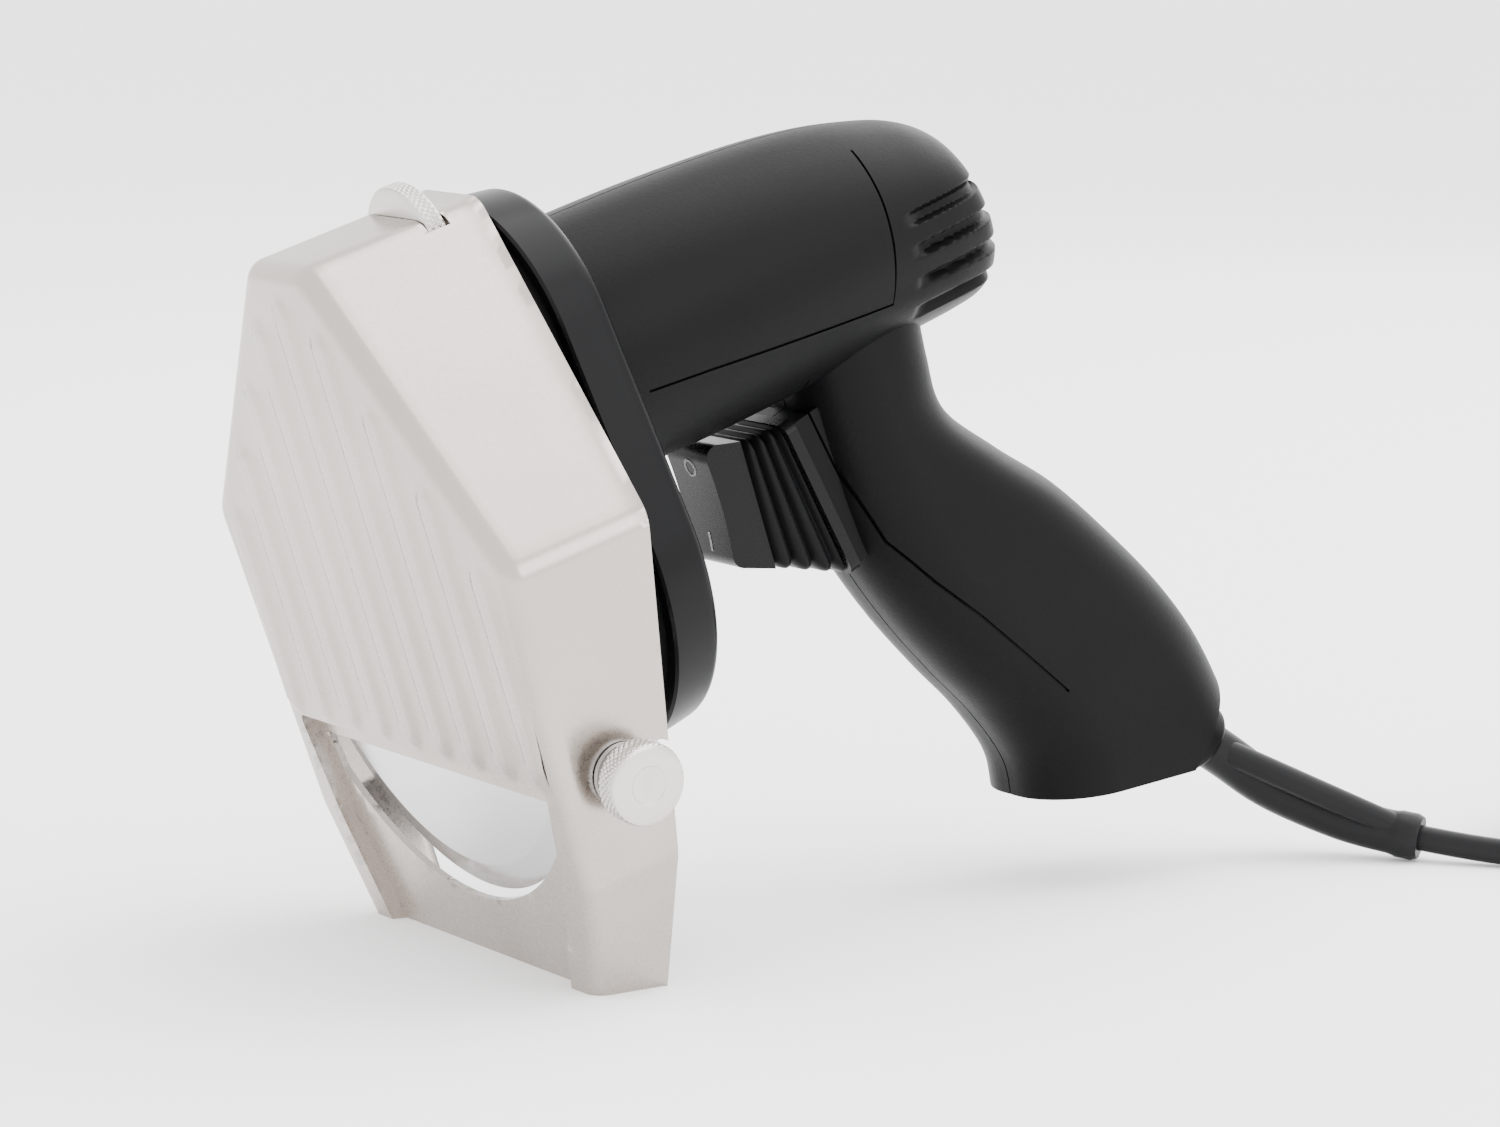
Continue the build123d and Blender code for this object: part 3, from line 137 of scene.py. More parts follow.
@dataclass(frozen=True)
class Finish:
    """Surface of one real material, with grain and a soft change of colour across it."""

    name: str
    base: str
    tint: str
    metallic: float = 0.0
    roughness: float = 0.5
    rough_spread: float = 0.05
    grain_mm: float = 0.7
    grain_depth_mm: float = 0.02
    patch_mm: float = 35.0
    specular: float = 0.5

    def height(self, tree: bpy.types.NodeTree, where: bpy.types.NodeSocket) -> bpy.types.NodeSocket:
        """Return the height of the fine grain, from 0 to 1."""
        noise = add_node(tree, "ShaderNodeTexNoise",
                         {"Vector": where, "Scale": 1 / (self.grain_mm * MM), "Detail": FINE_DETAIL})
        return noise.outputs["Fac"]

    def material(self) -> bpy.types.Material:
        """Build the material once and return it."""
        found = bpy.data.materials.get(self.name)
        if found:
            return found
        made = bpy.data.materials.new(self.name)
        made.use_nodes = True
        tree = made.node_tree
        shader = tree.nodes["Principled BSDF"]
        where = add_node(tree, "ShaderNodeTexCoord").outputs["Object"]
        fine = self.height(tree, where)
        broad = add_node(tree, "ShaderNodeTexNoise",
                         {"Vector": where, "Scale": 1 / (self.patch_mm * MM), "Detail": BROAD_DETAIL})
        # Inputs 6 and 7 and output 2 are the colour ones of a mix node.
        colour = add_node(tree, "ShaderNodeMix",
                          {"Factor": broad.outputs["Fac"], 6: linear(self.base), 7: linear(self.tint)},
                          data_type="RGBA")
        rough = add_node(tree, "ShaderNodeMapRange",
                         {"Value": fine, "To Min": self.roughness - self.rough_spread,
                          "To Max": self.roughness + self.rough_spread})
        bump = add_node(tree, "ShaderNodeBump",
                        {"Height": fine, "Strength": 1.0, "Distance": self.grain_depth_mm * MM})
        tree.links.new(colour.outputs[2], shader.inputs["Base Color"])
        tree.links.new(rough.outputs["Result"], shader.inputs["Roughness"])
        tree.links.new(bump.outputs["Normal"], shader.inputs["Normal"])
        shader.inputs["Metallic"].default_value = self.metallic
        shader.inputs["Specular IOR Level"].default_value = self.specular
        return made


@dataclass(frozen=True)
class TurnedFinish(Finish):
    """Metal turned on a lathe: fine rings round the axis of the piece."""

    centre: Point = (0.0, 0.0, 0.0)
    turn: Point = (0.0, 0.0, 0.0)
    ring_mm: float = 0.5

    def height(self, tree: bpy.types.NodeTree, where: bpy.types.NodeSocket) -> bpy.types.NodeSocket:
        """Return the height of the turning rings, from 0 to 1."""
        local = add_node(tree, "ShaderNodeMapping",
                         {"Vector": where, "Location": self.centre, "Rotation": self.turn}, vector_type="TEXTURE")
        flat = add_node(tree, "ShaderNodeVectorMath", {0: local.outputs["Vector"], 1: (1.0, 1.0, 0.0)},
                        operation="MULTIPLY")
        reach = add_node(tree, "ShaderNodeVectorMath", {0: flat.outputs["Vector"]}, operation="LENGTH")
        rings = add_node(tree, "ShaderNodeTexNoise",
                         {"W": reach.outputs["Value"], "Scale": 1 / (self.ring_mm * MM)}, noise_dimensions="1D")
        return rings.outputs["Fac"]


# Satin stainless sheet: its light is broad and soft, warm and pale.
STAINLESS_GUARD = Finish("stainless_satin_guard", "#B9B1AB", "#9A928C", 1.0, 0.28, 0.06, 0.9, 0.003, 40.0)
# Moulded glass-filled nylon: matt black with a fine spark-eroded grain.
NYLON_BODY = Finish("nylon_moulded_black", "#0C0C0D", "#080809", 0.0, 0.42, 0.06, 0.75, 0.03, 30.0,
                    specular=0.07)
# Powder-coated die-cast aluminium: black and smoother than the body, so its edge takes the light.
COATED_RING = Finish("aluminium_coated_black", "#0C0C0D", "#08080A", 0.0, 0.3, 0.05, 0.5, 0.008, 30.0,
                     specular=0.1)
# Die-cast aluminium cover in a flat black coat.
COATED_COVER = Finish("aluminium_cover_black", "#0A0A0B", "#070708", 0.0, 0.46, 0.05, 0.6, 0.01, 30.0,
                      specular=0.07)
# Moulded rocker key in a hard black plastic with a soft polish.
ABS_KEY = Finish("abs_polished_black", "#121213", "#0E0E0F", 0.0, 0.28, 0.04, 0.5, 0.004, 30.0,
                 specular=0.1)
# Soft black rubber of the folded boot.
RUBBER_BOOT = Finish("rubber_moulded_boot", "#101011", "#0B0B0C", 0.0, 0.38, 0.05, 0.6, 0.01, 20.0,
                     specular=0.07)
# Extruded soft vinyl of the cord and its sleeve, a little greyer than the body.
VINYL_CORD = Finish("vinyl_extruded_cord", "#19191A", "#141415", 0.0, 0.36, 0.05, 0.9, 0.01, 25.0,
                    specular=0.1)
# Zinc-plated steel of screws, nuts and small turned pieces.
ZINC_STEEL = Finish("steel_zinc_plated", "#C9CBCC", "#B4B6B8", 1.0, 0.34, 0.06, 0.4, 0.004, 15.0)
# Rolled steel of the motor can, pressed and left bright.
MOTOR_STEEL = Finish("steel_pressed_motor", "#A9ABAD", "#999B9E", 1.0, 0.42, 0.06, 0.6, 0.006, 20.0)
# Hardened gear steel with a trace of oil.
GEAR_STEEL = Finish("steel_ground_gear", "#8F9193", "#7C7E80", 1.0, 0.3, 0.06, 0.5, 0.004, 18.0)
# Sintered bronze of the plain bushes.
BRONZE_BUSH = Finish("bronze_sintered_bush", "#A97B45", "#91683A", 1.0, 0.45, 0.06, 0.5, 0.008, 12.0)
# Enamelled copper wire of the armature.
COPPER_COIL = Finish("copper_enamelled_coil", "#A4552B", "#8A4422", 1.0, 0.35, 0.06, 0.6, 0.03, 10.0)
# Bare copper of the commutator and the terminals.
COPPER_BARE = Finish("copper_bare", "#B87345", "#A5643A", 1.0, 0.32, 0.06, 0.5, 0.006, 10.0)
# Pressed carbon of the brushes.
CARBON_BRUSH = Finish("carbon_pressed_brush", "#2B2B2D", "#202022", 0.0, 0.6, 0.05, 0.4, 0.01, 8.0)
# Dark sintered magnets.
FERRITE_MAGNET = Finish("ferrite_sintered_magnet", "#3A3A3C", "#303032", 0.0, 0.55, 0.05, 0.6, 0.01, 15.0)
# Moulded phenolic of the motor's end cap, the switch body and the fan.
PHENOLIC_PART = Finish("phenolic_moulded_dark", "#33302E", "#2B2826", 0.0, 0.5, 0.05, 0.5, 0.01, 15.0)
# Green glass-fibre circuit board.
FIBRE_BOARD = Finish("epoxy_glass_board", "#2F5B3C", "#284F34", 0.0, 0.4, 0.05, 0.5, 0.006, 10.0)
# Yellow film capacitor in its moulded case.
FILM_CASE = Finish("polyester_capacitor_case", "#B98A2C", "#A87C26", 0.0, 0.35, 0.04, 0.5, 0.004, 10.0)
# Nickel-plated brass of the plug's pins.
NICKEL_PIN = Finish("brass_nickel_plated_pin", "#CFC9BB", "#BDB7A9", 1.0, 0.25, 0.05, 0.4, 0.003, 10.0)
# Red soft insulation of the inner leads.
VINYL_LEAD = Finish("vinyl_lead_red", "#7B2B28", "#6A2422", 0.0, 0.4, 0.04, 0.5, 0.004, 15.0)
# Pale print on the key.
PRINT_WHITE = Finish("ink_pale_mark", "#B9B9B8", "#ABABAA", 0.0, 0.55, 0.04, 0.4, 0.002, 10.0)

CAD_FINISHES: dict[Finish, tuple[str, ...]] = {
    COATED_COVER: ("gear_cover",),
    ZINC_STEEL: ("cover_screws", "adjuster_stud", "blade_clamp_disc", "blade_screw", "guard_bracket",
                 "bracket_screws", "bracket_nuts", "lock_washer_right", "lock_washer_left", "motor_screws",
                 "brush_springs", "clamp_screws"),
    GEAR_STEEL: ("drive_gear", "gear_key", "blade_spindle", "spindle_bearing", "motor_shaft", "motor_pinion",
                 "motor_front_bearing"),
    BRONZE_BUSH: ("spindle_bush", "motor_rear_bush"),
    RUBBER_BOOT: ("spindle_seal",),
    MOTOR_STEEL: ("motor_can", "armature_core"),
    FERRITE_MAGNET: ("motor_magnets",),
    COPPER_COIL: ("armature_windings",),
    COPPER_BARE: ("commutator", "brush_holders", "switch_terminals"),
    PHENOLIC_PART: ("cooling_fan", "motor_end_cap", "switch_body", "bridge_rectifier", "cord_clamp"),
    CARBON_BRUSH: ("carbon_brushes",),
    ABS_KEY: ("switch_bezel", "switch_rocker"),
    FIBRE_BOARD: ("circuit_board",),
    FILM_CASE: ("capacitor",),
    VINYL_LEAD: ("lead_wires",),
    VINYL_CORD: ("cord_lead", "plug_body"),
    NICKEL_PIN: ("plug_pins",),
}


def ring(radius: float, height: float, sides: int) -> list[Point]:
    """Return the points of a circle round the Z axis.

    Args:
        radius: Its radius.
        height: Its Z.
        sides: How many points it has.

    Returns:
        Points counterclockwise from X.
    """
    turns = [FULL_TURN * i / sides for i in range(sides)]
    return [(radius * math.cos(a), radius * math.sin(a), height) for a in turns]


def show(name: str, data: bpy.types.ID) -> bpy.types.Object:
    """Make an object, link it to the scene and return it."""
    made = bpy.data.objects.new(name, data)
    bpy.context.scene.collection.objects.link(made)
    return made


def spline(name: str, route: Sequence[Vector], resolution: int) -> bpy.types.Object:
    """Make a smooth line that starts and ends at its route's ends.

    Args:
        name: Its name.
        route: Its control points.
        resolution: Steps between two of them.

    Returns:
        The curve object.
    """
    curve = bpy.data.curves.new(name, "CURVE")
    curve.dimensions = "3D"
    curve.resolution_u = resolution
    line = curve.splines.new("NURBS")
    line.points.add(len(route) - 1)
    for point, place in zip(line.points, route):
        point.co = (*place, 1.0)
    line.order_u = 3
    line.use_endpoint_u = True
    return show(name, curve)


class Shape:
    """Points and faces in millimetres, gathered before they become one mesh."""

    def __init__(self) -> None:
        """Start empty."""
        self.points: list[Point] = []
        self.faces: list[tuple[int, ...]] = []

    def add(self, points: Sequence[Point], faces: Sequence[Sequence[int]]) -> None:
        """Add points and faces whose numbers count from the first of these points.

        Args:
            points: New points.
            faces: Faces over the new points.
        """
        start = len(self.points)
        self.points.extend(tuple(map(float, p)) for p in points)
        self.faces.extend(tuple(start + i for i in face) for face in faces)

    def add_loops(self, loops: Sequence[Sequence[Point]], closed: bool = True, caps: bool = False) -> None:
        """Join loops of equal length into a skin.

        Args:
            loops: Loops of points, in order.
            closed: Whether each loop runs round to its first point.
            caps: Whether the first and last loop are filled.
        """
        count = len(loops[0])
        points = [p for loop in loops for p in loop]
        faces = []
        for row in range(len(loops) - 1):
            for i in range(count if closed else count - 1):
                j = (i + 1) % count
                below, above = row * count, (row + 1) * count
                faces.append((below + i, below + j, above + j, above + i))
        if caps:
            faces.append(tuple(reversed(range(count))))
            last = (len(loops) - 1) * count
            faces.append(tuple(range(last, last + count)))
        self.add(points, faces)

    def add_box(self, place: Matrix, size: Point) -> None:
        """Add a box.

        Args:
            place: Where its middle is, and how it is turned.
            size: Its three sides.
        """
        corners = [(x, y, z) for x in (-0.5, 0.5) for y in (-0.5, 0.5) for z in (-0.5, 0.5)]
        points = [tuple(place @ Vector((x * size[0], y * size[1], z * size[2]))) for x, y, z in corners]
        self.add(points, [(0, 1, 3, 2), (4, 6, 7, 5), (0, 4, 5, 1), (2, 3, 7, 6), (0, 2, 6, 4), (1, 5, 7, 3)])

    def add_rod(self, place: Matrix, radius: float, length: float, sides: int = 64) -> None:
        """Add a round bar along the local Z axis.

        Args:
            place: Where its middle is, and how it is turned.
            radius: Its radius.
            length: Its length.
            sides: How many flats the round has.
        """
        ends = (-length / 2, length / 2)
        self.add_loops([[tuple(place @ Vector(p)) for p in ring(radius, z, sides)] for z in ends], caps=True)

    def piece(self, name: str, merge: float = 1e-4) -> bpy.types.Object:
        """Make the mesh object, with its doubles merged and its faces outwards.

        Args:
            name: Name of the piece.
            merge: Distance under which points are one.

        Returns:
            The object, still in millimetres.
        """
        mesh = bpy.data.meshes.new(name)
        mesh.from_pydata(self.points, [], self.faces)
        work = bmesh.new()
        work.from_mesh(mesh)
        bmesh.ops.remove_doubles(work, verts=work.verts, dist=merge)
        bmesh.ops.recalc_face_normals(work, faces=work.faces)
        work.to_mesh(mesh)
        work.free()
        return show(name, mesh)


def loft(name: str, loops: Sequence[Sequence[Point]], caps: bool = False) -> bpy.types.Object:
    """Make a mesh object from loops, its ends filled or not."""
    shape = Shape()
    shape.add_loops(loops, caps=caps)
    return shape.piece(name)


def block(name: str, place: Matrix, size: Point) -> bpy.types.Object:
    """Make a box, given its middle and its three sides."""
    shape = Shape()
    shape.add_box(place, size)
    return shape.piece(name)


def bake(piece: bpy.types.Object) -> None:
    """Turn the piece's live modifiers into plain mesh.

    Args:
        piece: Object with modifiers.
    """
    graph = bpy.context.evaluated_depsgraph_get()
    old = piece.data
    made = bpy.data.meshes.new_from_object(piece.evaluated_get(graph))
    piece.modifiers.clear()
    piece.data = made
    bpy.data.meshes.remove(old)


def carve(piece: bpy.types.Object, tool: bpy.types.Object, operation: str = "DIFFERENCE",
          exact: bool = True) -> None:
    """Cut or join one closed mesh with another, which is used up.

    Args:
        piece: Mesh that is changed.
        tool: Mesh that cuts or is added.
        operation: Name of the boolean operation.
        exact: Whether the exact solver is used. The fast one suits thin sheet.
    """
    cut = piece.modifiers.new("cut", "BOOLEAN")
    cut.object = tool
    cut.operation = operation
    cut.solver = "EXACT" if exact else "FAST"
    bake(piece)
    bpy.data.objects.remove(tool)


def dress(piece: bpy.types.Object, finish: Finish, body: Body, nodes: Sequence[str] = (), place: Matrix = TOOL,
          sharp: float = 38.0) -> bpy.types.Object:
    """Place a piece in metres, smooth it up to its sharp edges, and give it its material and body.

    Args:
        piece: Mesh object in millimetres.
        finish: Its surface.
        body: Body that it rides on.
        nodes: CAD nodes that it stands for.
        place: From millimetres to the standing frame.
        sharp: Angle over which an edge stays sharp.

    Returns:
        The same object.
    """
    mesh = piece.data
    mesh.transform(place)
    mesh.polygons.foreach_set("use_smooth", [True] * len(mesh.polygons))
    work = bmesh.new()
    work.from_mesh(mesh)
    limit = math.radians(sharp)
    for edge in work.edges:
        edge.smooth = len(edge.link_faces) == 2 and edge.calc_face_angle(0.0) < limit
    work.to_mesh(mesh)
    work.free()
    mesh.materials.clear()
    mesh.materials.append(finish.material())
    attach(piece, body.value)
    if nodes:
        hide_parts(*nodes)
    log.info("%s: %d faces", piece.name, len(mesh.polygons))
    return piece


def smooth_step(value: np.ndarray | float, low: float, high: float) -> np.ndarray | float:
    """Return 0 under low, 1 over high, and a soft rise between them."""
    share = np.clip((value - low) / (high - low), 0.0, 1.0)
    return share * share * (3 - 2 * share)


def spread(start: float, end: float, count: int) -> list[float]:
    """Return count + 1 even steps from start to end."""
    return [start + (end - start) * i / count for i in range(count + 1)]


def round_turns() -> list[float]:
    """Return the angles round a rounded edge, without the first one."""
    return spread(0.0, QUARTER, ROUND_STEPS)[1:]


@dataclass
class RoundedPath:
    """Flat path of straight runs with rounded corners, whose point count stays the same when it is inset."""

    corners: list[Flat]
    radius: float
    closed: bool
    arc_points: int = 8
    run_points: int = 12
    least_radius: float = 0.05

    def points(self, inset: float = 0.0) -> list[Flat]:
        """Return the path's points, moved to the right of its direction by the inset.

        Args:
            inset: Distance from the path itself.

        Returns:
            Points in order, the same number for every inset.
        """
        corners = [Vector(c) for c in self.corners]
        count = len(corners)
        runs = [(corners[(i + 1) % count] - corners[i]).normalized() for i in range(count)]
        normals = [Vector((run.y, -run.x)) for run in runs]
        ends: list[tuple[Vector, Vector]] = []
        arcs: list[list[Vector]] = []
        for i, corner in enumerate(corners):
            if not self.closed and i in (0, count - 1):
                normal = normals[0] if i == 0 else normals[i - 1]
                ends.append((corner + normal * inset, corner + normal * inset))
                arcs.append([corner + normal * inset])
                continue
            before, after = normals[i - 1], normals[i]
            middle = corner + (before + after) * (inset / (1 + before.dot(after)))
            turn = runs[i - 1].angle_signed(runs[i])
            radius = max(self.radius - inset, self.least_radius) if turn > 0 else self.radius + inset
            reach = radius * math.tan(abs(turn) / 2)
            start, end = middle - runs[i - 1] * reach, middle + runs[i] * reach
            sign = 1 if turn > 0 else -1
            centre = start + before * (radius * sign)
            arm = start - centre
            arc = []
            for step in range(self.arc_points + 1):
                angle = -turn * step / self.arc_points
                arc.append(centre + Matrix.Rotation(angle, 2) @ arm)
            ends.append((start, end))
            arcs.append(arc)
        path: list[Flat] = []
        for i in range(count):
            path.extend(tuple(p) for p in arcs[i])
            if i == count - 1 and not self.closed:
                break
            low, high = arcs[i][-1], arcs[(i + 1) % count][0]
            path.extend(tuple(low.lerp(high, k / self.run_points)) for k in range(1, self.run_points))
        return path


def inside(points: np.ndarray, loop: Sequence[Flat]) -> np.ndarray:
    """Return whether each point lies in a closed loop.

    Args:
        points: Rows of two numbers.
        loop: Corners of the loop.

    Returns:
        One truth value for each point.
    """
    corners = np.array(loop)
    held = np.zeros(len(points), bool)
    for a, b in zip(corners, np.roll(corners, -1, axis=0)):
        crosses = (a[1] > points[:, 1]) != (b[1] > points[:, 1])
        rise = b[1] - a[1] if b[1] != a[1] else LEAST_RISE
        held ^= crosses & (points[:, 0] < (b[0] - a[0]) * (points[:, 1] - a[1]) / rise + a[0])
    return held


def nearest(points: np.ndarray, loop: Sequence[Flat]) -> np.ndarray:
    """Return each point's distance to the nearest corner of a dense loop."""
    corners = np.array(loop)
    away = points[:, None, :] - corners[None, :, :]
    return np.min(np.hypot(away[:, :, 0], away[:, :, 1]), axis=1)


def panel(outer: Sequence[Flat], holes: Sequence[Sequence[Flat]], extra: np.ndarray,
          lift: Callable[[np.ndarray], np.ndarray]) -> tuple[list[Point], list[tuple[int, ...]]]:
    """Fill a flat outline with triangles, each point moved along Y by a height.

    Args:
        outer: Dense outline, in X and Z.
        holes: Dense outlines that stay open.
        extra: Points wanted inside.
        lift: Gives Y for rows of X and Z.

    Returns:
        Points and triangles.
    """
    loops = [list(outer), *[list(h) for h in holes]]
    keep = inside(extra, outer) & (nearest(extra, outer) > EDGE_ROOM)
    for hole in holes:
        keep &= ~inside(extra, hole) & (nearest(extra, hole) > EDGE_ROOM)
    points = [p for loop in loops for p in loop] + [tuple(p) for p in extra[keep]]
    edges, start = [], 0
    for loop in loops:
        edges += [(start + i, start + (i + 1) % len(loop)) for i in range(len(loop))]
        start += len(loop)
    made = delaunay_2d_cdt([Vector(p) for p in points], edges, [], 0, PANEL_MERGE)
    flat = np.array([tuple(p) for p in made[0]])
    faces = [tuple(f) for f in made[2]]
    middles = np.array([flat[list(f)].mean(axis=0) for f in faces])
    good = inside(middles, outer)
    for hole in holes:
        good &= ~inside(middles, hole)
    depth = lift(flat)
    placed = [(x, y, z) for (x, z), y in zip(flat, depth)]
    return placed, [f for f, ok in zip(faces, good) if ok]


@dataclass(frozen=True)
class Lamp:
    """Soft square light: its place and side in metres, its power in watts."""

    name: str
    place: Point
    size: float
    power: float


@dataclass
class Studio:
    """Camera at the photograph's angle, soft lights and a pale floor."""

    # Camera: place in metres, directions ahead and to its right, lens and sensor in millimetres.
    camera_place: Point = (0.7759, -0.50218, 0.1965)
    look: Point = (-0.8422, 0.5203, -0.1418)
    right: Point = (0.5256, 0.8508, 0.0)
    lens: float = 121.2
    sensor: float = 36.0
    floor_half: float = 6.0
    clip: Flat = (0.05, 50.0)
    # Matt paper sweep: almost white, so it fades into the sky.
    paper: Finish = Finish("paper_matt_white", "#FDFDFD", "#FBFBFB", 0.0, 0.85, 0.03, 2.0, 0.0, 400.0)
    sky_colour: str = "#FFFFFF"
    sky_strength: float = 3.0
    target: Point = (0.0, 0.0, 0.07)
    lamps: tuple[Lamp, ...] = (Lamp("top_soft", (0.1, 0.5, 1.25), 1.2, 20.0),
                               Lamp("side_soft", (1.3, 0.4, 0.75), 0.9, 9.0),
                               Lamp("rear_soft", (-0.7, 1.1, 0.8), 0.9, 7.0))

    def build_camera(self) -> None:
        """Add the camera."""
        data = bpy.data.cameras.new("camera")
        data.lens = self.lens
        data.sensor_fit = "HORIZONTAL"
        data.sensor_width = self.sensor
        data.clip_start, data.clip_end = self.clip
        camera = show("camera", data)
        right = Vector(self.right).normalized()
        look = Vector(self.look).normalized()
        up = right.cross(look).normalized()
        turn = Matrix((right, up, -look)).transposed()
        camera.matrix_world = Matrix.Translation(self.camera_place) @ turn.to_4x4()
        bpy.context.scene.camera = camera

    def build_light(self, lamp: Lamp) -> None:
        """Add one light that points at the target."""
        data = bpy.data.lights.new(lamp.name, "AREA")
        data.shape, data.size, data.energy = "SQUARE", lamp.size, lamp.power
        aim = (Vector(self.target) - Vector(lamp.place)).to_track_quat("-Z", "Y").to_matrix().to_4x4()
        show(lamp.name, data).matrix_world = Matrix.Translation(lamp.place) @ aim

    def build_floor(self) -> None:
        """Add the floor."""
        half = self.floor_half
        corners = [(-half, -half, 0), (half, -half, 0), (half, half, 0), (-half, half, 0)]
        mesh = bpy.data.meshes.new("floor")
        mesh.from_pydata(corners, [], [(0, 1, 2, 3)])
        mesh.materials.append(self.paper.material())
        show("floor", mesh)

    def build(self) -> None:
        """Add the camera, the lights, the sky and the floor."""
        self.build_camera()
        for lamp in self.lamps:
            self.build_light(lamp)
        world = bpy.data.worlds.new("sky")
        world.use_nodes = True
        sky = world.node_tree.nodes["Background"]
        sky.inputs["Color"].default_value = linear(self.sky_colour)
        sky.inputs["Strength"].default_value = self.sky_strength
        bpy.context.scene.world = world
        self.build_floor()


@dataclass
class MainsLead:
    """Cord from the sleeve's end to the plug, its unseen length in a tied coil."""

    radius: float = 2.5
    start_route: tuple[Point, ...] = ((33.2, 185.6, 3.1), (43.3, 193.8, 2.6), (53.4, 202.0, 2.5))
    end_route: tuple[Point, ...] = ((48.3, 270.9, 17.3), (36.5, 276.2, 14.0), (24.3, 280.6, 9.8),
                                    (14.7, 283.4, 6.85), (6.0, 285.7, 6.85))
    coil_middle: Flat = (42.0, 236.0)
    coil_radius: float = 28.6
    pitch: float = 5.05
    # Column and row of each turn in the coil, in the order in which the cord fills them.
    cells: tuple[tuple[int, int], ...] = ((0, 0), (1, 0), (2, 0), (2, 1), (1, 1), (0, 1),
                                          (0, 2), (1, 2), (2, 2), (2, 3), (1, 3), (0, 3))
    entry_angle: float = -51.0
    exit_travel: float = 3711.0
    first_change: float = 290.0
    change_every: float = 318.0
    change_width: float = 40.0
    step: float = 15.0
    smoothness: int = 6
    roundness: int = 5
    tie_width: float = 15.9
    tie_height: float = 20.4
    tie_wall: float = 0.8
    tie_corner: float = 1.2
    tie_base: float = 0.05
    tie_swell: float = 0.15
    tie_edges: tuple[float, ...] = (-2.5, -2.2, 2.2, 2.5)

    def coil_points(self) -> list[Point]:
        """Return points round the coil, whose turns move from cell to cell one after the other."""
        middle = Vector(self.coil_middle)
        made = []
        for index in range(int(self.exit_travel / self.step)):
            travel = index * self.step
            column, row = self.cells[0]
            for change, (to_column, to_row) in enumerate(self.cells[1:]):
                start = self.first_change + change * self.change_every
                share = float(smooth_step(travel, start, start + self.change_width))
                from_column, from_row = self.cells[change]
                column += (to_column - from_column) * share
                row += (to_row - from_row) * share
            angle = math.radians(self.entry_angle + travel)
            # The spline cuts inside its corner points, so they stand out by that much.
            reach = (self.coil_radius + (1 - column) * self.pitch) / math.cos(math.radians(self.step / 2))
            made.append((middle.x + reach * math.cos(angle), middle.y + reach * math.sin(angle),
                         self.radius + row * self.pitch))
        return made

    def build(self, sleeve_end: Point) -> bpy.types.Object:
        """Args:
            sleeve_end: Where the cord leaves the sleeve, in millimetres.

        Returns:
            The cord.
        """
        route = [sleeve_end, *self.start_route, *self.coil_points(), *self.end_route]
        cord = spline("mains_lead", [STAND @ Vector(place) for place in route], self.smoothness)
        cord.data.bevel_depth = self.radius * MM
        cord.data.bevel_resolution = self.roundness
        cord.data.use_fill_caps = True
        cord.data.materials.append(VINYL_CORD.material())
        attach(cord, Body.HOUSING.value)
        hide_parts("power_cord", "cord_coil", "cord_tail")
        return cord

    def build_tie(self) -> None:
        """Make the soft strap round the coil."""
        height, wall, base, corner = self.tie_height, self.tie_wall, self.tie_base, self.tie_corner
        middle = (self.coil_middle[0] - self.coil_radius, self.coil_middle[1])
        loops = []
        for y in self.tie_edges:
            grow = 0.0 if abs(y) == max(self.tie_edges) else self.tie_swell
            half = self.tie_width / 2 + wall + grow
            top, roof = height + wall + grow, height - 2 * base
            path = [(-half, base), (-half, height), (-half + corner, top), (half - corner, top), (half, height),
                    (half, base), (half - wall, base), (half - wall, roof), (-half + wall, roof),
                    (-half + wall, base)]
            loops.append([(middle[0] + x, middle[1] + y, z) for x, z in path])
        dress(loft("coil_tie", loops, caps=True), RUBBER_BOOT, Body.HOUSING, ["cord_tie"], STAND)


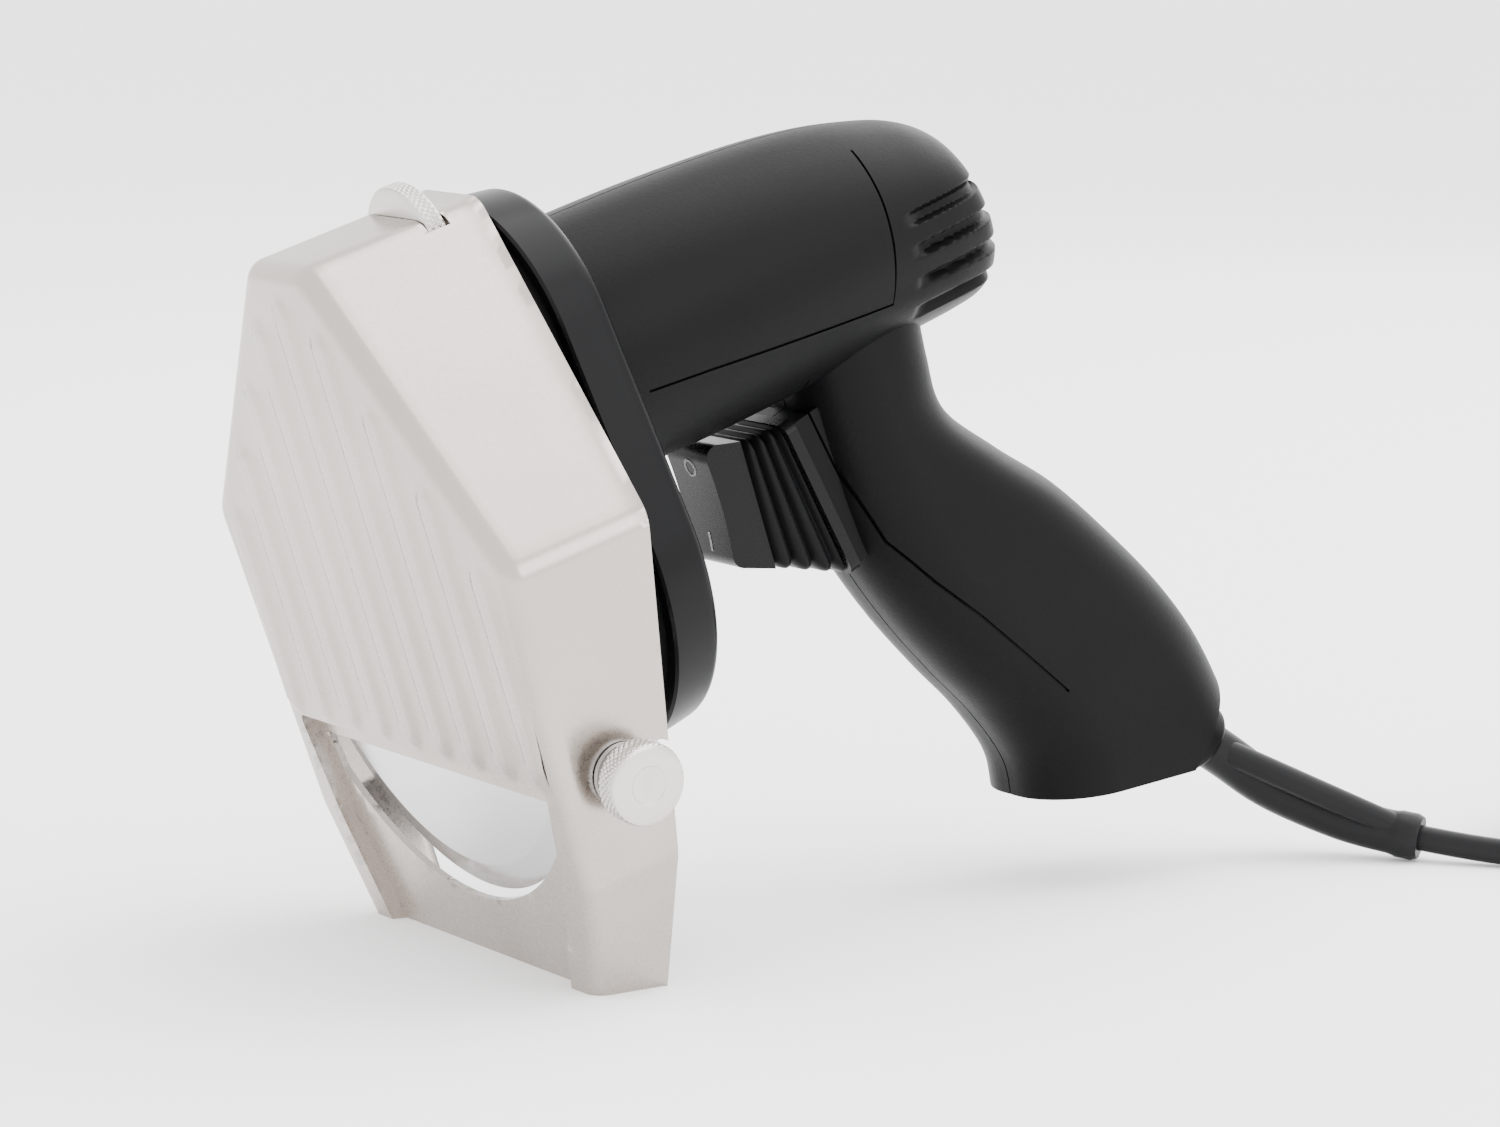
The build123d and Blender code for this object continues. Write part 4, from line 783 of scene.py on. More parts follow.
@dataclass
class Guard:
    """Pressed steel guard: ribbed front plate, side walls, recessed tray and the cut for the blade."""

    wall: float = 1.2
    front: float = -48.0
    top: float = 34.5
    top_half: float = 10.5
    shoulder: Flat = (55.0, -16.0)
    hip: Flat = (50.0, -75.0)
    foot: Flat = (41.5, -96.5)
    deep: float = -108.0
    bend: float = 6.0
    fold: float = 3.5
    rear_top: float = -11.0
    rear_lean: float = 9.5
    rib_count: int = 9
    rib_pitch: float = 11.4
    rib_width: float = 7.4
    rib_height: float = 0.8
    window_top: float = -56.5
    window_half: float = 46.0
    window_rail: float = 8.5
    tray_depth: float = 2.8
    crescent_radius: float = 53.9
    crescent_drop: float = -31.8
    crescent_side: float = 4.0
    wheel_radius: float = 13.5
    wheel_mid: float = -20.5
    wheel_half: float = 2.25
    wheel_z: float = 26.8
    travel: float = 8.0
    slot_half: float = 2.75
    slot_reach: float = 4.0
    rib_end_share: float = 0.75
    rib_low_room: float = 4.5
    rib_flank: Flat = (0.55, 1.0)
    window_corner: float = 1.2
    crescent_step: float = 0.25
    lip: float = 0.35
    lip_share: float = 0.09
    edge_round: float = 0.22
    edge_angle: float = 55.0
    front_grid: tuple[Point, Point] = ((-54.0, 54.1, 0.95), (-56.0, 32.0, 1.5))
    tray_grid: tuple[Point, Point] = ((-45.0, 45.1, 3.0), (-106.0, -56.0, 3.0))
    cutter_size: float = 400.0
    merge: float = 1e-3
    # How finely each part of the guard is meshed.
    outline_run: int = 30
    window_arc: int = 5
    window_run: int = 24
    crescent_top: int = 40
    crescent_arc: int = 90
    wall_rows: int = 16
    tray_rows: int = 3
    slot_steps: int = 16
    wheel_sides: int = 96
    edge_segments: int = 2

    def slope(self) -> float:
        """Return how far the side moves in for each millimetre down, under the hip."""
        return (self.foot[0] - self.hip[0]) / (self.foot[1] - self.hip[1])

    def outline(self) -> RoundedPath:
        """Return the front outline, from the left foot over the top to the right foot."""
        deep_x = self.foot[0] + self.slope() * (self.deep - self.foot[1])
        half = [(deep_x, self.deep), self.hip, self.shoulder, (self.top_half, self.top)]
        corners = [(-x, z) for x, z in half] + list(reversed(half))
        return RoundedPath(corners, self.bend, closed=False, run_points=self.outline_run)

    def rear(self, z: float) -> float:
        """Return the rear edge of the side wall at a height."""
        return self.rear_top - (self.top - z) * math.tan(math.radians(self.rear_lean))

    def window(self) -> list[Flat]:
        """Return the tray's outline, from the left foot over its top to the right foot."""
        deep_x = self.foot[0] - self.window_rail + self.slope() * (self.deep - self.foot[1])
        half = [(deep_x, self.deep), (self.hip[0] - self.window_rail, self.hip[1]),
                (self.window_half, self.window_top)]
        corners = [(-x, z) for x, z in half] + list(reversed(half))
        return RoundedPath(corners, self.window_corner, closed=False, arc_points=self.window_arc,
                           run_points=self.window_run).points()

    def crescent(self) -> list[Flat]:
        """Return the outline of the cut through which the blade shows."""
        top = self.window_top - self.crescent_side
        half = self.window_half - self.crescent_side
        side = (self.hip[0] - self.window_half - self.window_rail) / (self.hip[1] - self.window_top)
        loop: list[Flat] = [(-half, top)]
        loop += [(x, top) for x in spread(-half, half, self.crescent_top)[1:]]
        low = top
        while math.hypot(half + side * (low - top), low - self.crescent_drop) < self.crescent_radius:
            low -= self.crescent_step
            loop.append((half + side * (low - top), low))
        start = math.atan2(low - self.crescent_drop, loop[-1][0])
        for angle in spread(start, -math.pi - start, self.crescent_arc)[1:]:
            loop.append((self.crescent_radius * math.cos(angle),
                         self.crescent_drop + self.crescent_radius * math.sin(angle)))
        while low < top - self.crescent_step:
            low += self.crescent_step
            loop.append((-half - side * (low - top), low))
        return loop

    def rib_lift(self, flat: np.ndarray) -> np.ndarray:
        """Return the front plate's Y, with its soft ribs.

        Args:
            flat: Rows of X and Z.

        Returns:
            Y for each row.
        """
        x, z = flat[:, 0], flat[:, 1]
        run = (self.top - self.shoulder[1]) / (self.shoulder[0] - self.top_half)
        height = np.zeros(len(flat))
        for index in range(self.rib_count):
            middle = (index - (self.rib_count - 1) / 2) * self.rib_pitch
            reach = abs(middle) + self.rib_width / 2
            slope_z = self.top - max(0.0, reach - self.top_half) * run
            high = slope_z - self.fold - self.rib_end_share * self.rib_width
            low = self.window_top + self.rib_low_room
            along = np.clip(z, low, high)
            away = np.hypot(x - middle, z - along) / (self.rib_width / 2)
            height = np.maximum(height, self.rib_height * (1 - smooth_step(away, *self.rib_flank)))
        return self.front - height

    def build_skin(self) -> Shape:
        """Return the guard's outer face as an open skin."""
        shape = Shape()
        path = self.outline()
        loops = []
        for share in spread(0.0, 1.0, self.wall_rows):
            lip = self.lip * (1 - float(smooth_step(share, 0.0, self.lip_share)))
            loops.append([(x, self.rear(z) * (1 - share) + (self.front + self.fold) * share, z)
                          for x, z in path.points(-lip)])
        for turn in round_turns():
            inset = self.fold * (1 - math.cos(turn))
            y = self.front + self.fold * (1 - math.sin(turn))
            loops.append([(x, y, z) for x, z in path.points(inset)])
        shape.add_loops(loops, closed=False)
        rim = [(x, z) for x, _, z in loops[-1]]
        window = self.window()
        outer = rim + list(reversed(window))
        shape.add(*panel(outer, [], self.grid(*self.front_grid), self.rib_lift))
        depth = self.front + self.tray_depth
        levels = spread(self.front, depth, self.tray_rows)
        shape.add_loops([[(x, y, z) for x, z in window] for y in levels], closed=False)
        shape.add(*panel(window, [self.crescent()], self.grid(*self.tray_grid),
                         lambda flat: np.full(len(flat), depth)))
        return shape

    def grid(self, across: Point, up: Point) -> np.ndarray:
        """Return rows of X and Z on a grid, each range given as its start, end and step."""
        return np.array([(x, z) for x in np.arange(*across) for z in np.arange(*up)])

    def knob_slot(self, side: Side) -> bpy.types.Object:
        """Return the long slot that the knob's shank slides in.

        Args:
            side: Which wall of the guard.
        """
        place = LockKnob(side).place()
        loops = []
        for height in (-self.slot_reach, self.slot_reach):
            loop = []
            for shift, first in ((self.travel, -QUARTER), (0.0, QUARTER)):
                for angle in spread(first, first + math.pi, self.slot_steps):
                    x, y = self.slot_half * math.cos(angle), self.slot_half * math.sin(angle)
                    loop.append((shift + x, y, height))
            loops.append([tuple(place @ Vector(p)) for p in loop])
        return loft("slot_cutter", loops, caps=True)

    def build_cutters(self) -> list[bpy.types.Object]:
        """Return the wheel's slot, the knobs' slots and the room under the floor."""
        wheel = Shape()
        middle = Matrix.Translation((0.0, self.wheel_mid, self.wheel_z))
        wheel.add_rod(middle @ SIDEWAYS, self.wheel_radius, 2 * self.wheel_half, self.wheel_sides)
        size = self.cutter_size
        place = Matrix.Rotation(math.radians(-REST_PITCH), 4, "X")
        place = place @ Matrix.Translation((0.0, 0.0, -FLOOR_DROP - size / 4))
        floor = block("floor_cutter", place, (size, size, size / 2))
        return [floor, wheel.piece("wheel_cutter"), *[self.knob_slot(side) for side in Side]]

    def build(self) -> bpy.types.Object:
        """Make the guard."""
        piece = self.build_skin().piece("guard_plate", self.merge)
        if sum(p.normal.y * p.area for p in piece.data.polygons) > 0:
            piece.data.flip_normals()
        wall = piece.modifiers.new("wall", "SOLIDIFY")
        wall.thickness = self.wall
        wall.offset = -1.0
        wall.use_even_offset = True
        bake(piece)
        for cutter in self.build_cutters():
            carve(piece, cutter, exact=False)
        soft = piece.modifiers.new("edge", "BEVEL")
        soft.width = self.edge_round
        soft.segments = self.edge_segments
        soft.limit_method = "ANGLE"
        soft.angle_limit = math.radians(self.edge_angle)
        bake(piece)
        return dress(piece, STAINLESS_GUARD, Body.GUARD, ["blade_guard"])


@dataclass(frozen=True)
class Knurl:
    """Turned disc with a diamond knurl on its rim, its axis along local Z."""

    radius: float
    height: float
    teeth: int
    depth: float = 0.35
    chamfer: float = 0.6
    rows: int = 22
    steps: int = 6
    fade: float = 0.5

    def rim_loop(self, z: float, share: float) -> list[Point]:
        """Return one ring of the rim.

        Args:
            z: Height of the ring.
            share: How much of the knurl shows, from 0 at the chamfer to 1.

        Returns:
            Its points.
        """
        pitch = FULL_TURN * self.radius / self.teeth
        points = []
        count = self.teeth * self.steps
        for i in range(count):
            angle = FULL_TURN * i / count
            right = abs((i / self.steps + z / pitch) % 1.0 - 0.5) * 2
            left = abs((i / self.steps - z / pitch) % 1.0 - 0.5) * 2
            radius = self.radius - self.depth * (1 - share + share * max(right, left) ** 2)
            points.append((radius * math.cos(angle), radius * math.sin(angle), z))
        return points

    def plain_loop(self, z: float, radius: float) -> list[Point]:
        """Return one smooth ring."""
        return ring(radius, z, self.teeth * self.steps)

    def loops(self, low: float) -> list[list[Point]]:
        """Return the rim's rings from its lower face to its upper face."""
        made = [self.plain_loop(low, self.radius - self.chamfer - self.depth)]
        for share in spread(0.0, 1.0, self.rows):
            z = low + 0.5 * self.chamfer + (self.height - self.chamfer) * share
            shown = float(smooth_step(min(share, 1 - share) * self.height, 0.0, self.fade))
            made.append(self.rim_loop(z, shown))
        made.append(self.plain_loop(low + self.height, self.radius - self.chamfer - self.depth))
        return made


@dataclass
class LockKnob:
    """Knurled knob that clamps the guard to its bracket, on one side."""

    side: Side
    drop: float = -57.0
    y: float = -36.0
    seat: float = 1.35
    neck_radius: float = 4.6
    neck_height: float = 2.3
    shank_radius: float = 2.5
    shank_end: float = -8.1
    shoulder: Flat = Guard.shoulder
    hip: Flat = Guard.hip
    rim: Knurl = Knurl(7.3, 5.3, 38)
    # Radius and depth of each step on the face, down to the small dimple in its middle.
    face: tuple[Flat, ...] = ((3.4, 0.0), (3.2, 0.15), (0.6, 0.15), (0.25, 0.35))
    sharp: float = 32.0

    def place(self) -> Matrix:
        """Return the plane on the guard's wall at this knob, local Z outwards and local X to the rear."""
        share = (self.drop - self.shoulder[1]) / (self.hip[1] - self.shoulder[1])
        x = self.shoulder[0] + share * (self.hip[0] - self.shoulder[0])
        lean = math.atan2(self.shoulder[0] - self.hip[0], self.shoulder[1] - self.hip[1])
        out = Vector((self.side.value * math.cos(lean), 0.0, -math.sin(lean)))
        rear = Vector((0.0, 1.0, 0.0))
        turn = Matrix((rear, out.cross(rear), out)).transposed().to_4x4()
        return Matrix.Translation((self.side.value * x, self.y, self.drop)) @ turn

    def build(self) -> bpy.types.Object:
        """Make the knob with its neck and shank."""
        low = self.seat + self.neck_height
        top = low + self.rim.height
        steps = ((self.shank_end, self.shank_radius), (self.seat, self.shank_radius),
                 (self.seat, self.neck_radius), (low, self.neck_radius))
        loops = [self.rim.plain_loop(z, radius) for z, radius in steps]
        loops += self.rim.loops(low)
        loops += [self.rim.plain_loop(top - depth, radius) for radius, depth in self.face]
        body = Body.KNOB_RIGHT if self.side is Side.RIGHT else Body.KNOB_LEFT
        word = self.side.name.lower()
        placed = TOOL @ self.place()
        # Turned steel knob: rings on its face, bright points on its knurl.
        finish = TurnedFinish(f"steel_turned_knob_{word}", "#CFCBC6", "#BDB9B4", 1.0, 0.3, 0.06, 0.5, 0.012, 20.0,
                              centre=tuple(placed.translation), turn=tuple(placed.to_euler()), ring_mm=0.45)
        knob = loft(f"lock_knob_{word}_turned", loops, caps=True)
        return dress(knob, finish, body, [f"lock_knob_{word}"], placed, self.sharp)


@dataclass
class ThicknessWheel:
    """Knurled wheel that sets the slice's thickness, in the slot on top of the guard."""

    middle: float = Guard.wheel_mid
    z: float = Guard.wheel_z
    bore: float = 2.56
    hub_radius: float = 6.0
    rim: Knurl = Knurl(13.0, 4.0, 64, depth=0.4, chamfer=0.5, rows=16)
    sharp: float = 32.0

    def build(self) -> bpy.types.Object:
        """Make the wheel."""
        half = self.rim.height / 2
        steps = ((half, self.hub_radius), (half, self.bore), (-half, self.bore), (-half, self.hub_radius))
        inner = [self.rim.plain_loop(z, radius) for z, radius in steps]
        loops = self.rim.loops(-half)
        place = TOOL @ Matrix.Translation((0.0, self.middle, self.z)) @ SIDEWAYS
        # Turned steel wheel with a knurled rim.
        finish = TurnedFinish("steel_turned_wheel", "#C9C5C0", "#B7B3AE", 1.0, 0.32, 0.06, 0.5, 0.012, 20.0,
                              centre=tuple(place.translation), turn=tuple(place.to_euler()), ring_mm=0.5)
        wheel = loft("thickness_wheel_turned", [*loops, *inner, loops[0]])
        return dress(wheel, finish, Body.WHEEL, ["thickness_wheel"], place, self.sharp)


def along(shares: Sequence[float], position: float) -> float:
    """Return the value on the smooth curve through evenly numbered shares.

    Args:
        shares: Values at 0, 1, 2 and so on.
        position: Where between them.

    Returns:
        The value there.
    """
    index = min(int(position), len(shares) - 2)
    t = position - index
    before, low = shares[max(index - 1, 0)], shares[index]
    high, after = shares[index + 1], shares[min(index + 2, len(shares) - 1)]
    bend = (2 * before - 5 * low + 4 * high - after) * t ** 2 + (3 * low - before - 3 * high + after) * t ** 3
    return low + 0.5 * ((high - before) * t + bend)


@dataclass(frozen=True)
class Density:
    """How finely barrel and grip are meshed."""

    barrel_sides: int
    barrel_steps: int
    grip_corner: int
    grip_steps: int


@dataclass
class BodyShell:
    """Moulded barrel and pistol grip in two halves, with its vents, panel lines and switch opening."""

    barrel_radius: float = 24.0
    barrel_length: float = 89.0
    wall: float = 2.4
    # Along the barrel from its front: shares of its length, and of its radius for radius and middle.
    y_shares: tuple[float, ...] = (0.0, 0.27, 0.51, 0.67, 0.79, 0.88, 0.945, 0.985, 1.0)
    r_shares: tuple[float, ...] = (1.0, 1.0, 0.96, 0.905, 0.845, 0.78, 0.68, 0.5, 0.36)
    z_shares: tuple[float, ...] = (0.0, 0.0, 0.0, -0.012, -0.05, -0.095, -0.16, -0.24, -0.25)
    vent_top: float = 3.0
    vent_pitch: float = 6.0
    vent_count: int = 4
    grip_length: float = 125.0
    grip_depth: float = 48.0
    grip_half: float = 17.5
    # Down the grip: shares of its length, of its depth for front and rear, and of its half width.
    grip_z: tuple[float, ...] = (-0.1, -0.2, -0.29, -0.38, -0.47, -0.58, -0.68, -0.77, -0.86, -0.93, -1.0)
    grip_front: tuple[float, ...] = (0.88, 0.88, 0.885, 0.9, 0.94, 1.05, 1.18, 1.31, 1.395, 1.385, 1.36)
    grip_rear: tuple[float, ...] = (1.5, 1.47, 1.48, 1.66, 1.87, 2.06, 2.21, 2.31, 2.37, 2.39, 2.37)
    grip_width: tuple[float, ...] = (0.8, 0.86, 0.88, 0.92, 0.97, 1.0, 1.0, 1.0, 0.97, 0.95, 0.9)
    corner_share: float = 0.86
    side_steps: int = 8
    toe: Flat = (60.0, -113.5)
    heel: Flat = (103.0, -121.5)
    exit_place: Flat = (104.6, -114.8)
    exit_angle: float = 49.2
    groove: float = 0.5
    groove_depth: float = 0.7
    groove_reach: Flat = (3.0, 30.0)
    # Panel lines of each half, in Y and Z.
    barrel_line: tuple[Flat, ...] = ((4.0, -6.0), (18.0, -7.0), (38.0, -8.8), (58.5, -10.6), (60.4, 0.0),
                                     (61.6, 8.0), (62.5, 17.0))
    grip_line: tuple[Flat, ...] = ((40.9, -19.0), (41.0, -22.5), (43.9, -37.3), (48.0, -53.6), (54.0, -63.5),
                                   (61.0, -73.3), (69.0, -85.5), (74.5, -94.0))
    seam: float = 0.35
    seam_middle: Point = (0.0, 60.0, -50.0)
    seam_reach: float = 300.0
    vent_depth: float = 2.0
    vent_run: Flat = (64.0, 70.0)
    vent_flank: Flat = (0.7, 1.5)
    vent_margin: Flat = (1.2, 2.2)
    crown_start: float = 80.0
    crown_side: Flat = (0.12, 0.25)
    overrun: float = 1.0
    base_cut: Point = (200.0, 300.0, 120.0)
    exit_cut: float = 33.6
    exit_hole: Flat = (6.6, 12.0)
    exit_hole_start: float = -4.0
    switch_place: Point = (0.0, 40.6, -41.7)
    switch_lean: float = 10.5
    seat_size: Point = (17.0, 6.0, 30.0)
    opening_size: Point = (13.5, 29.0, 26.5)
    opening_shift: float = 2.75
    half_cut: Point = (200.0, 400.0, 400.0)
    half_middle: Flat = (50.0, -50.0)
    sharp: float = 35.0
    fine: Density = Density(420, 16, 16, 10)
    coarse: Density = Density(96, 5, 8, 3)

    def barrel(self, name: str, inset: float, density: Density) -> bpy.types.Object:
        """Return the barrel, or its cavity, which runs out of the front.

        Args:
            name: Name of the mesh.
            inset: Distance inside the outer face.
            density: How finely it is meshed.

        Returns:
            A closed mesh.
        """
        loops = []
        last, sides = len(self.y_shares) - 1, density.barrel_sides
        for position in spread(0.0, last, last * density.barrel_steps):
            radius = self.barrel_radius * along(self.r_shares, position) - inset
            y = (self.barrel_length - inset) * along(self.y_shares, position)
            if inset and position == 0:
                y = -self.overrun
            middle = self.barrel_radius * along(self.z_shares, position)
            loop = []
            for i in range(sides):
                angle = FULL_TURN * i / sides
                z = middle + radius * math.sin(angle)
                reach = radius if inset else radius + self.lobe(y, z, math.cos(angle))
                loop.append((reach * math.cos(angle), y, middle + reach * math.sin(angle)))
            loops.append(loop)
        return loft(name, loops, caps=True)

    def lobe(self, y: float, z: float, side: float) -> float:
        """Return how far the rear of the barrel is cut in at its vents, as a number under zero.

        Args:
            y: Place along the barrel.
            z: Height.
            side: Cosine of the angle round the barrel, so near zero at its crown.

        Returns:
            Change of the barrel's radius.
        """
        low = self.vent_top - (self.vent_count - 1) * self.vent_pitch
        near = abs((z - self.vent_top + self.vent_pitch / 2) % self.vent_pitch - self.vent_pitch / 2)
        inner, outer = self.vent_margin
        above = float(smooth_step(z, low - outer, low - inner))
        rows = above * (1 - float(smooth_step(z, self.vent_top + inner, self.vent_top + outer)))
        start = float(smooth_step(y, *self.vent_run))
        wide = float(smooth_step(abs(side), *self.crown_side)) if y > self.crown_start else 1.0
        cut = 1 - float(smooth_step(near, *self.vent_flank))
        return -self.vent_depth * cut * rows * start * wide

    def grip(self, name: str, inset: float, density: Density) -> bpy.types.Object:
        """Return the grip, or its cavity, which runs past both ends."""
        loops = []
        last = len(self.grip_z) - 1
        stations = spread(0.0, last, last * density.grip_steps)
        for index, position in enumerate(stations):
            front = self.grip_depth * along(self.grip_front, position) + inset
            rear = self.grip_depth * along(self.grip_rear, position) - inset
            half = self.grip_half * along(self.grip_width, position) - inset
            z = self.grip_length * along(self.grip_z, position)
            if inset and index == 0:
                z += self.overrun
            if inset and index == len(stations) - 1:
                z -= self.overrun
            loops.append([(x, y, z) for x, y in self.section(half, front, rear, density.grip_corner)])
        return loft(name, loops, caps=True)

    def section(self, half: float, front: float, rear: float, corner: int) -> list[Flat]:
        """Return one rounded section of the grip.

        Args:
            half: Half its width.
            front: Y of its front.
            rear: Y of its rear.
            corner: Steps round each corner.

        Returns:
            Its points in X and Y.
        """
        radius = half * self.corner_share
        points: list[Flat] = []
        for turn, cx, cy in ((0, half - radius, rear - radius), (1, radius - half, rear - radius),
                             (2, radius - half, front + radius), (3, half - radius, front + radius)):
            for step in range(corner + 1):
                angle = QUARTER * (turn + step / corner)
                points.append((cx + radius * math.cos(angle), cy + radius * math.sin(angle)))
            if turn in (1, 3):
                sign = -1 if turn == 1 else 1
                run = sign * (rear - front - 2 * radius)
                points += [(sign * half, cy + run * share) for share in spread(0.0, 1.0, self.side_steps)[1:-1]]
        return points

    def exit_frame(self, forward: float = 0.0) -> Matrix:
        """Return a place on the cord's exit axis, local Z along that axis."""
        angle = math.radians(self.exit_angle)
        out = Vector((0.0, math.cos(angle), -math.sin(angle)))
        side = Vector((1.0, 0.0, 0.0))
        turn = Matrix((side, out.cross(side), out)).transposed().to_4x4()
        start = Vector((0.0, *self.exit_place)) + out * forward
        return Matrix.Translation(start) @ turn

    def cut_ends(self, piece: bpy.types.Object, inset: float) -> None:
        """Cut the grip at its sloping bottom and at the cord's exit."""
        slope = math.atan2(self.heel[1] - self.toe[1], self.heel[0] - self.toe[0])
        place = Matrix.Translation((0.0, *self.toe)) @ Matrix.Rotation(slope, 4, "X")
        place = place @ Matrix.Translation((0.0, 0.0, -self.base_cut[2] / 2 + inset))
        carve(piece, block("base_cutter", place, self.base_cut))
        size = self.exit_cut
        carve(piece, block("exit_cutter", self.exit_frame(size / 2 - inset), (size, size, size)))

    def form(self, name: str, inset: float, density: Density) -> bpy.types.Object:
        """Return barrel and grip as one closed mesh.

        Args:
            name: Name of the mesh.
            inset: Distance inside the outer face.
            density: How finely it is meshed.

        Returns:
            The mesh object.
        """
        grip = self.grip(name, inset, density)
        self.cut_ends(grip, inset)
        carve(grip, self.barrel(name + "_barrel", inset, density), "UNION")
        return grip

    def ribbon(self, tool: Shape, route: Sequence[Flat], side: Side) -> None:
        """Add a thin wall along a route, from near the middle out to one side.

        Args:
            tool: Shape that it is added to.
            route: Points in Y and Z.
            side: Side of the tool that it cuts.
        """
        low, high = sorted(side.value * reach for reach in self.groove_reach)
        half = self.groove / 2
        points = [Vector(p) for p in route]
        left, right = [], []
        for i, point in enumerate(points):
            before = points[max(i - 1, 0)]
            after = points[min(i + 1, len(points) - 1)]
            run = (after - before).normalized()
            normal = Vector((-run.y, run.x)) * half
            left.append(point + normal)
            right.append(point - normal)
        loops = []
        for a, b in zip(left, right):
            loops.append([(low, *a), (high, *a), (high, *b), (low, *b)])
        tool.add_loops(loops, caps=True)

    def grooves(self) -> bpy.types.Object:
        """Return the thin cutters of the panel lines and the seam between the halves."""
        tool = Shape()
        for side in Side:
            for route in (self.barrel_line, self.grip_line):
                self.ribbon(tool, route, side)
        tool.add_box(Matrix.Translation(self.seam_middle), (self.seam, self.seam_reach, self.seam_reach))
        return tool.piece("groove_cutter")

    def switch_frame(self) -> Matrix:
        """Return the switch's place, local Y into the grip."""
        return Matrix.Translation(self.switch_place) @ Matrix.Rotation(math.radians(self.switch_lean), 4, "X")

    def build(self) -> None:
        """Make the right and the left half."""
        shell = self.form("body_shell", 0.0, self.fine)
        switch = self.switch_frame()
        place = switch @ Matrix.Translation((0.0, self.seat_size[1] / 2, 0.0))
        carve(shell, block("seat", place, self.seat_size), "UNION")
        lines = self.grooves()
        carve(lines, self.form("groove_floor", self.groove_depth, self.coarse))
        carve(shell, lines)
        carve(shell, self.form("cavity", self.wall, self.coarse))
        holes = Shape()
        holes.add_box(switch @ Matrix.Translation((0.0, self.opening_shift, 0.0)), self.opening_size)
        holes.add_rod(self.exit_frame(self.exit_hole_start), *self.exit_hole)
        carve(shell, holes.piece("hole_cutter"))
        for side in Side:
            half = show(f"housing_{side.name.lower()}_moulded", shell.data.copy())
            away = -side.value * self.half_cut[0] / 2
            carve(half, block("half_cutter", Matrix.Translation((away, *self.half_middle)), self.half_cut))
            dress(half, NYLON_BODY, Body.HOUSING, [f"housing_{side.name.lower()}"], sharp=self.sharp)
        bpy.data.objects.remove(shell)


@dataclass
class GearRing:
    """Die-cast gear housing: a lobed dish with a rounded rear edge."""

    crown_rise: float = 6.0
    crown_radius: float = 25.9
    lobe_drop: float = -35.0
    lobe_radius: float = 34.7
    depth: float = 10.5
    draft: float = 7.5
    wall: float = 4.5
    floor: float = 3.5
    edge: float = 1.8
    lip: float = 0.5
    nose: float = 7.3
    nose_length: float = 20.0
    crown_points: int = 80
    lobe_points: int = 110
    side_points: int = 16
    wall_rows: int = 8
    sharp: float = 30.0

    def loop(self, y: float, inset: float) -> list[Point]:
        """Return the lobed outline at one depth.

        Args:
            y: Its place along the motor axis.
            inset: Distance inside the rear outline.

        Returns:
            Its points.
        """
        upper, lower = self.crown_radius - inset, self.lobe_radius - inset
        lean = math.asin((lower - upper) / (self.crown_rise - self.lobe_drop))
        top = [(upper * math.cos(a), self.crown_rise + upper * math.sin(a))
               for a in spread(lean, math.pi - lean, self.crown_points)]
        low = [(lower * math.cos(a), self.lobe_drop + lower * math.sin(a))
               for a in spread(math.pi - lean, FULL_TURN + lean, self.lobe_points)]
        points: list[Flat] = []
        count = self.side_points
        for arc, after in ((top, low), (low, top)):
            points += arc
            points += [tuple(Vector(arc[-1]).lerp(Vector(after[0]), k / count)) for k in range(1, count)]
        return [(x, y, z) for x, z in points]

    def build(self) -> bpy.types.Object:
        """Make the ring."""
        grow = math.tan(math.radians(self.draft))
        loops = [self.loop(0.0, self.edge)]
        for turn in round_turns():
            y = -self.edge * (1 - math.cos(turn))
            loops.append(self.loop(y, self.edge * (1 - math.sin(turn)) + y * grow))
        for y in spread(-self.edge, -self.depth + self.lip, self.wall_rows)[1:]:
            loops.append(self.loop(y, y * grow))
        loops.append(self.loop(-self.depth, -self.depth * grow + self.lip))
        loops.append(self.loop(-self.depth, self.wall))
        loops.append(self.loop(-self.floor, self.wall))
        cast = loft("gear_ring_cast", loops, caps=True)
        hole = Shape()
        hole.add_rod(SIDEWAYS, self.nose, self.nose_length)
        carve(cast, hole.piece("nose_cutter"))
        return dress(cast, COATED_RING, Body.HOUSING, ["gear_housing"], sharp=self.sharp)


